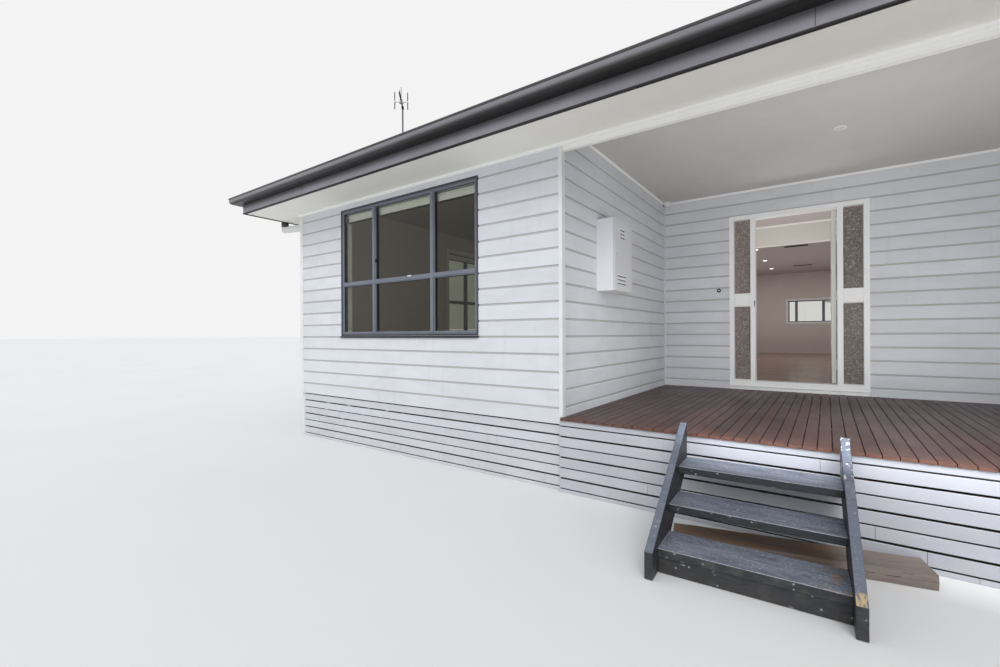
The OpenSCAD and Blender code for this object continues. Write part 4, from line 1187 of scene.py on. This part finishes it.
def capping(solids, start, end, normal_a, normal_b):
    """Rolled capping along a ridge or hip, with a wing on each slope."""
    start, end = Vector(start), Vector(end)
    along = (end - start).normalized()
    up = (normal_a + normal_b).normalized()
    wing_a = normal_a.cross(along)
    wing_b = normal_b.cross(along)
    wing_a *= -1 if wing_a.z > 0 else 1
    wing_b *= -1 if wing_b.z > 0 else 1
    roll, width, lift = 0.021, 0.145, 0.003
    wing = ((width, lift), (width - 0.004, lift + 0.003), (0.030, lift + 0.003))
    section = [wing_a * out + normal_a * over for out, over in wing]
    away = (wing_a - up * wing_a.dot(up)).normalized()
    for i in range(9):
        a = radians(-20 + 220 * i / 8)
        section.append(up * (0.020 + roll * sin(a)) + away * roll * cos(a))
    section += [wing_b * out + normal_b * over for out, over in wing[::-1]]
    section.append(up * lift)
    solids.loops([[p + s for s in section] for p in (start, end)])


def cappings():
    """Capping on the ridge and the four hips, over the crests of the sheets."""
    pitch = radians(ROOF_PITCH)
    crest = ROOF_MID + WAVE_DEPTH / 2
    south, north = (Vector((0, s * sin(pitch), cos(pitch))) for s in (-1, 1))
    west, east = (Vector((s * sin(pitch), 0, cos(pitch))) for s in (-1, 1))
    ridge_z = crest + ROOF_HALF * ROOF_SLOPE
    near, far = ROOF_FRONT + ROOF_HALF, ROOF_REAR - ROOF_HALF
    solids = Solids()
    trim = 0.05
    for x, side in ((-1, west), (1, east)):
        for corner_y, top_y, end, back in ((ROOF_FRONT, near, south, 1), (ROOF_REAR, far, north, -1)):
            foot = (x * (ROOF_HALF - trim), corner_y + back * trim, crest + trim * ROOF_SLOPE)
            capping(solids, foot, (0, top_y, ridge_z), end, side)
    capping(solids, (0, near - trim, ridge_z + 0.002), (0, far + trim, ridge_z + 0.002), west, east)
    solids.build("ridge_and_hip_capping", "roof_steel", ROOF_STEEL, curved=True, stands_for="roof_capping")


def pipe_collars():
    """Sockets on the downpipes, and a dark sleeve at the top of each swan neck."""
    solids = Solids()
    r = 0.045
    wall_x, neck_x = HALF + 0.060, HALF + EAVE + 0.060
    for x in (-1, 1):
        for y in (0.090, DEPTH - 0.090):
            outlet = [(r + 0.001, 0.0), (r + 0.004, 0.002), (r + 0.004, 0.024), (r + 0.009, 0.030)]
            solids.lathe(outlet, 0, move(x * neck_x, y, gutter_low.z - 0.030))
            sleeve = move(x * neck_x, y, fascia_low.z - 0.050)
            solids.lathe([(r, 0.0), (r + 0.003, 0.002), (r + 0.003, 0.078), (r, 0.080)], 1, sleeve)
            for z in (SOFFIT - 0.26, 1.55):
                socket = move(x * wall_x, y, z)
                solids.lathe([(r, 0.0), (r + 0.003, 0.002), (r + 0.003, 0.048), (r, 0.050)], 0, socket)
    solids.build("pipe_collars", "white_pipe", PIPE, GUTTER_LIP, curved=True)


def antenna():
    """Mast in its foot, a boom with short rods, and a pale bar with a tall rod at each end."""
    low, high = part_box("antenna")
    foot, boom_up = 0.045, 0.195
    boom_z = high.z - boom_up
    base = low.z - boom_z
    place = move(low.x + foot, high.y - foot, boom_z) @ spin(-48.5, "Z")
    solids = Solids()
    solids.tube([(0, 0, base), (0, 0, 0.015)], 0.011, 0, place, 16)
    solids.tube([(0, 0, base), (0, 0, base + 0.11)], 0.024, 0, place, 16)
    solids.block((-0.040, -0.040, base + 0.004), (0.040, 0.040, base + 0.030), 0, place)
    solids.block((-0.018, -0.016, -0.020), (0.016, 0.016, 0.016), 1, place)
    solids.tube([(-0.03, 0, 0), (0.42, 0, 0)], 0.011, 1, place)
    bar, reach, level = 0.1925, 0.090, -0.015
    solids.tube([(bar, -reach, level), (bar, reach, level)], 0.0065, 2, place)
    solids.block((bar - 0.030, -0.028, level - 0.016), (bar + 0.030, 0.028, 0.012), 2, place)
    for side in (-reach, reach):
        solids.block((bar - 0.011, side - 0.011, level - 0.010), (bar + 0.011, side + 0.011, level + 0.010),
                     2, place)
        for start, end in ((-0.120, level - 0.010), (level + 0.010, 0.120)):
            solids.tube([(bar, side, start), (bar, side, end)], 0.0075, 0, place)
    solids.tube([(bar, 0, -0.045), (bar, 0, boom_up)], 0.0042, 0, place)
    for along in (0.245, 0.295, 0.345, 0.395):
        solids.tube([(along, 0, -0.040), (along, 0, 0.045)], 0.005, 1, place)
    solids.build("antenna_rods", "antenna_metal", ANTENNA, ANTENNA_BOOM, PLASTIC, curved=True,
                 stands_for="antenna")


gutter()
fascia()
eave_mouldings()
roof()
cappings()
pipe_collars()
antenna()
keep("soffit", SOFFIT_PAINT_LIT)
keep("porch_ceiling", PORCH_CEILING_SHADE)
keep("porch_beam", BEAM_PAINT_LIT)
keep("downpipes", PIPE)
keep("stumps_and_bearers", STUMP)


# Front door

def door_unit():
    """The frame's own shape, softened, with beads, raised panels, stops, a threshold strip and a strike."""
    dressed("door_frame", "white_trim", DOOR_TRIM, edge=0.0025)
    solids = Solids()
    face = frame_low.y
    head = frame_high.z - MEMBER
    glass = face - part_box("sidelight_glass")[0].y
    bead = [(0, glass), (0, glass + 0.022), (-0.002, glass + 0.022),
            (-0.004, glass + 0.004), (-0.004, glass)]
    panel = [(0, 0), (0, 0.003), (-0.002, 0.004), (-0.004, 0.003), (-0.005, 0)]
    place = move(0, face, 0)
    for x0 in (frame_low.x + MEMBER, doorway_right + MEMBER):
        x1 = x0 + SIDELIGHT_W
        for z0, z1 in ((0.733, 1.645), (1.807, head)):
            frame_ring(solids, place, x0, x1, z0, z1, bead, 0)
        frame_ring(solids, place, x0 + 0.004, x1 - 0.004, 1.651, 1.801, panel, 0)
    left, right, stop = doorway_left, doorway_right, 0.003
    for x0, x1 in ((left, left + stop), (right - stop, right)):
        solids.block((x0, face + 0.030, FLOOR + 0.012), (x1, face + 0.055, head))
    solids.block((left, face + 0.030, head - stop), (right, face + 0.055, head))
    solids.block((frame_low.x + 0.002, face - 0.006, 0.6545), (frame_high.x - 0.002, face + 0.010, 0.668))
    solids.block((left, face + 0.020, FLOOR + 0.0101), (right, face + 0.050, FLOOR + 0.013), 1)
    # Strike plate with its hole, a dark plate as painted shade, and the dark mark on the jamb's front
    solids.block((left, face + 0.060, 1.655), (left + 0.0015, face + 0.085, 1.735), 1)
    solids.block((left - 0.0001, face + 0.066, 1.675), (left + 0.0018, face + 0.078, 1.715), 2)
    solids.block((left - 0.012, face - 0.001, 1.640), (left - 0.003, face + 0.001, 1.710), 2)
    solids.build("door_frame_mouldings", "white_trim", DOOR_TRIM, SATIN_STEEL, DARK_SLOT, edge=0.0008)
    keep("sidelight_glass", OBSCURE)


def door_leaf():
    """Leaf with three raised panel mouldings on each face, and its latch in a plate on its edge."""
    dressed("door_leaf", "white_trim", DOOR_PAINT, body="front_door", edge=0.002)
    low, high = leaf_low, leaf_high
    solids = Solids()
    right_face = low.x + LEAF_T
    y0, y1 = low.y + 0.13, high.y - 0.13
    bead = [(0, 0), (0, 0.003), (-0.003, 0.0045), (-0.012, 0.0045), (-0.018, 0.001), (-0.018, 0)]
    panels = ((low.z + 0.16, low.z + 0.68), (low.z + 0.78, low.z + 1.30), (low.z + 1.40, high.z - 0.13))
    for z0, z1 in panels:
        frame_ring(solids, facing(-90, low.x, 0), -y1, -y0, z0, z1, bead, 0)
        frame_ring(solids, facing(90, right_face, 0), y0, y1, z0, z1, bead, 0)
    solids.block((low.x + 0.008, high.y, 1.60), (right_face - 0.008, high.y + 0.0012, 1.82), 1)
    solids.block((low.x + 0.013, high.y + 0.001, 1.70), (right_face - 0.013, high.y + 0.0035, 1.725), 1)
    solids.build("door_panels", "white_trim", DOOR_PAINT, SATIN_STEEL, body="front_door")


def door_handle():
    """Levers on turned roses, with a lock under each."""
    low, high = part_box("door_handle")
    z = (low.z + high.z) / 2
    spindle = high.y - 0.027
    solids = Solids()
    for x, out in ((leaf_low.x, -1), (leaf_low.x + LEAF_T, 1)):
        place = move(x, spindle, z) @ spin(90 * out, "Y")
        solids.lathe([(0.027, 0), (0.027, 0.005), (0.024, 0.008), (0.012, 0.009)], 0, place, 32)
        solids.lathe([(0.009, 0.008), (0.009, 0.040), (0.0095, 0.046)], 0, place, 20)
        bend = ((0.040, 0), (0.048, 0.002), (0.0525, 0.010), (0.0535, 0.030),
                (0.0535, 0.110), (0.0515, 0.118))
        solids.tube([(x + out * away, spindle - back, z) for away, back in bend], 0.0085, steps=16)
        lock = move(x, spindle, z - 0.090) @ spin(90 * out, "Y")
        solids.lathe([(0.024, 0), (0.024, 0.004), (0.021, 0.006), (0.010, 0.007)], 0, lock, 28)
    solids.build("door_lever_sets", "door_metal", SATIN_STEEL, body="front_door", curved=True,
                 stands_for="door_handle")


door_unit()
door_leaf()
door_handle()


# Porch fittings and meter box

def meter_box():
    """Folded steel box and a cover in a darker copy of its paint as painted shade, with pressed louvres and
    a pale seal in a paler paint as painted highlight, and a quarter-turn latch.
    """
    dressed("meter_box", "meter_steel", METER, edge=0.0015)
    # The cover in the darker copy of the box's paint: painted shade
    dressed("meter_box_cover", "meter_steel", METER_COVER_SHADE, body="meter_cover", edge=0.0025)
    face = cover_high.x - 0.007
    rim_back = face - 0.022
    near, low, top = cover_low.y, cover_low.z, cover_high.z
    middle = (low + top) / 2
    across, up = 0.055, 0.036
    solids = Solids()
    for row in range(3):
        for column in range(2):
            louvre(solids, face, near + 0.150 + column * across, top - 0.095 - row * up)
        for column in range(4):
            louvre(solids, face, near + 0.070 + column * across, low + 0.075 + row * up)
    latch = move(face, near + 0.045, middle) @ spin(90, "Y")
    solids.lathe([(0.011, 0), (0.011, 0.003), (0.009, 0.005)], 1, latch, 20)
    # The latch's slot: a dark bar, painted shade
    solids.block((face, near + 0.0435, middle - 0.007), (face + 0.0056, near + 0.0465, middle + 0.007), 2)
    # Hoods in the paler paint: painted highlight
    solids.build("meter_cover_louvres", "meter_steel", METER_HIGHLIGHT, SATIN_STEEL, DARK_SLOT,
                 body="meter_cover")
    # Pale seal in the gap beside the cover, in the paler paint: painted highlight
    seal = Solids()
    seal.block((rim_back - 0.005, near + 0.001, low + 0.001), (rim_back - 0.0005, near + 0.006, top - 0.001))
    seal.build("meter_box_seal_painted_highlight", "meter_steel", METER_HIGHLIGHT)


def louvre(solids, face, y, z):
    """A small pressed hood with a dark plate under it, painted shade for its slot."""
    w, h, out = 0.044, 0.012, 0.0055
    hood = [(0, z + h), (out * 0.7, z + h * 0.7), (out, z + h * 0.25), (out, z), (0, z)]
    solids.loops([[(face + d, at, up) for d, up in hood] for at in (y, y + w)])
    solids.block((face, y + 0.001, z - 0.010), (face + 0.0008, y + w - 0.001, z), 2)
    solids.block((face, y + 0.001, z - 0.002), (face + out - 0.001, y + w - 0.001, z), 2)


def porch_fittings():
    """Recessed downlight, doorbell and the sensor in the porch's inner corner."""
    solids = Solids()
    light = move(0, (PORCH_D + porch_beam_high.y) / 2, PORCH_TOP) @ HANGING
    solids.lathe([(0.050, 0), (0.050, 0.003), (0.046, 0.007), (0.038, 0.008), (0.036, 0.004)], 0, light, 36)
    solids.lathe([(0.036, 0.001), (0.036, 0.0055), (0.020, 0.0075)], 1, light, 36)
    bell = move(frame_low.x - 0.121, PORCH_D, 1.859) @ UPRIGHT
    solids.lathe([(0.025, 0), (0.025, 0.013), (0.023, 0.017), (0.015, 0.018)], 2, bell, 32)
    solids.lathe([(0.009, 0.017), (0.009, 0.0195), (0.007, 0.0205)], 0, bell, 24)
    away = 0.060
    base = move(-PORCH + away, PORCH_D - away, PORCH_TOP) @ HANGING
    solids.lathe([(0.054, 0), (0.054, 0.012), (0.052, 0.014)], 0, base, 36)
    dome = [(0.050 * cos(a), 0.012 + 0.044 * sin(a)) for a in (radians(10 * i) for i in range(9))]
    solids.lathe(dome, 0, base, 36)
    solids.block((-PORCH + 0.012, PORCH_D - away - 0.012, PORCH_TOP - 0.050),
                 (-PORCH + 0.016, PORCH_D - away + 0.012, PORCH_TOP - 0.015), 2)
    solids.build("porch_light_bell_and_sensor", "white_plastic", PLASTIC, LAMP_OFF, DARK_SLOT, curved=True,
                 stands_for="porch_fittings")


meter_box()
porch_fittings()


# Rooms, as far as the photograph shows them through the doorway

def room_fittings():
    """Lit downlights and air vents in the ceiling, and the fillet over the beam."""
    solids = Solids()
    for y in (7.8, 9.6, 11.3):
        spot = move(-1.335, y, WALL_TOP) @ HANGING
        solids.lathe([(0.055, 0), (0.055, 0.004), (0.044, 0.007)], 0, spot, 32)
        solids.lathe([(0.043, 0.001), (0.043, 0.008), (0.030, 0.009)], 1, spot, 32)
    for y in (7.8, 11.05):
        vent(solids, -0.61, y)
    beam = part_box("ceiling_beam")[0].y
    solids.run([(-HALF + WALL_T, beam), (HALF - WALL_T, beam)], quarter_bead(0.022, WALL_TOP), 2)
    solids.build("room_ceiling_fittings", "ceiling_sheet", PLASTIC, LAMP, PALE_BEAM, DARK_SLOT,
                 CEILING_PAINT)


def vent(solids, x, y):
    """Ceiling vent with level blades in a frame."""
    w, d, drop = 0.225, 0.100, 0.012
    low = WALL_TOP - drop
    path = [(x - w, y - d), (x + w, y - d), (x + w, y + d), (x - w, y + d)]
    solids.run(path, [(0, WALL_TOP), (0, low), (-0.020, low + 0.002), (-0.020, WALL_TOP)], 4, closed=True)
    rim, back, foot = 0.015, WALL_TOP - 0.003, low + 0.001
    solids.block((x - w + rim, y - d + rim, back), (x + w - rim, y + d - rim, WALL_TOP), 3)
    for i in range(6):
        at = y - d + 0.030 + i * (2 * d - 0.06) / 5
        blade = [(at - 0.010, back), (at + 0.006, foot), (at + 0.008, foot), (at - 0.008, back)]
        solids.extrude(blade, x - w + 0.018, x + w - 0.018, 3)


room_fittings()
keep("floor", FLOORING)
keep("ceiling", CEILING_PAINT)
keep("ceiling_beam", PALE_BEAM)


# Floor, light and background

BACKDROP = 0.90
SKY_LIGHT = 0.80
SUN_LIGHT = 1.25


def make_stage():
    paint = Look("pale_floor", (0.83, 0.83, 0.83), 0.9).mottle(0.4, 0.02).done()
    mesh = bpy.data.meshes.new("stage_floor")
    size = 400
    around = [(x * size, y * size, -0.001) for x, y in ((-1, -1), (1, -1), (1, 1), (-1, 1))]
    mesh.from_pydata(around, [], [(0, 1, 2, 3)])
    mesh.materials.append(paint)
    ground = bpy.data.objects.new("stage_floor", mesh)
    scene.collection.objects.link(ground)


def make_world():
    """Even soft sky light, and a paler plain background where the camera, glass or metal sees it."""
    world = bpy.data.worlds.new("Studio")
    scene.world = world
    world.use_nodes = True
    tree = world.node_tree
    tree.nodes.clear()
    rays = tree.nodes.new("ShaderNodeLightPath")

    def background(color, strength):
        node = tree.nodes.new("ShaderNodeBackground")
        node.inputs["Color"].default_value = (*color, 1.0)
        node.inputs["Strength"].default_value = strength
        return node.outputs[0]

    plain = background((1.0, 1.0, 1.0), BACKDROP)
    shown = background((0.93, 0.96, 1.0), SKY_LIGHT)
    for ray in ("Is Glossy Ray", "Is Transmission Ray", "Is Camera Ray"):
        mix = tree.nodes.new("ShaderNodeMixShader")
        tree.links.new(rays.outputs[ray], mix.inputs["Fac"])
        tree.links.new(shown, mix.inputs[1])
        tree.links.new(plain, mix.inputs[2])
        shown = mix.outputs[0]
    out = tree.nodes.new("ShaderNodeOutputWorld")
    tree.links.new(shown, out.inputs["Surface"])


def make_sun():
    """One broad soft key light from the front right."""
    data = bpy.data.lights.new("Key", "SUN")
    data.energy = SUN_LIGHT
    data.angle = radians(35)
    data.color = (1.0, 0.985, 0.96)
    lamp = bpy.data.objects.new("Key", data)
    lamp.rotation_euler = (radians(52), 0, radians(28))
    scene.collection.objects.link(lamp)


def soft_panel(name, size, place, tilt, watts, color=(1.0, 0.975, 0.95)):
    """A soft light that no camera, mirror or glass sees. A tilt of 0 faces down, and 180 up."""
    data = bpy.data.lights.new(name, "AREA")
    data.shape = "RECTANGLE"
    data.size, data.size_y = size
    data.energy = watts
    data.color = color
    lamp = bpy.data.objects.new(name, data)
    lamp.location = place
    lamp.rotation_euler = (radians(tilt), 0, 0)
    lamp.visible_camera = False
    lamp.visible_glossy = False
    lamp.visible_transmission = False
    scene.collection.objects.link(lamp)


def make_panels():
    """Soft light in the porch and the rooms, which the eaves and walls keep the sky from."""
    soft_panel("Porch", (2.2, 1.4), (0.2, -0.25, 1.35), 86, 29, (0.97, 0.98, 1.0))
    soft_panel("Porch_up", (2.6, 1.8), (0.1, 1.6, 0.75), 180, 8, (1.0, 0.92, 0.84))
    for side in (-1, 1):
        middle = WINDOW_LOW + WINDOW_H / 2
        soft_panel("Window", (WINDOW_W - 0.1, WINDOW_H - 0.1), (side * BAY_MID, 0.045, middle), 90, 9)
    soft_panel("Entry_up", (3.0, 1.4), (-0.5, 4.5, 1.1), 180, 45)
    soft_panel("Room_down", (6.0, 5.0), (-1.0, 9.2, 3.05), 0, 70)
    soft_panel("Room_up", (6.0, 5.0), (-1.0, 9.2, 1.0), 180, 50)


make_stage()
make_world()
make_sun()
make_panels()
scene.view_settings.view_transform = "Standard"
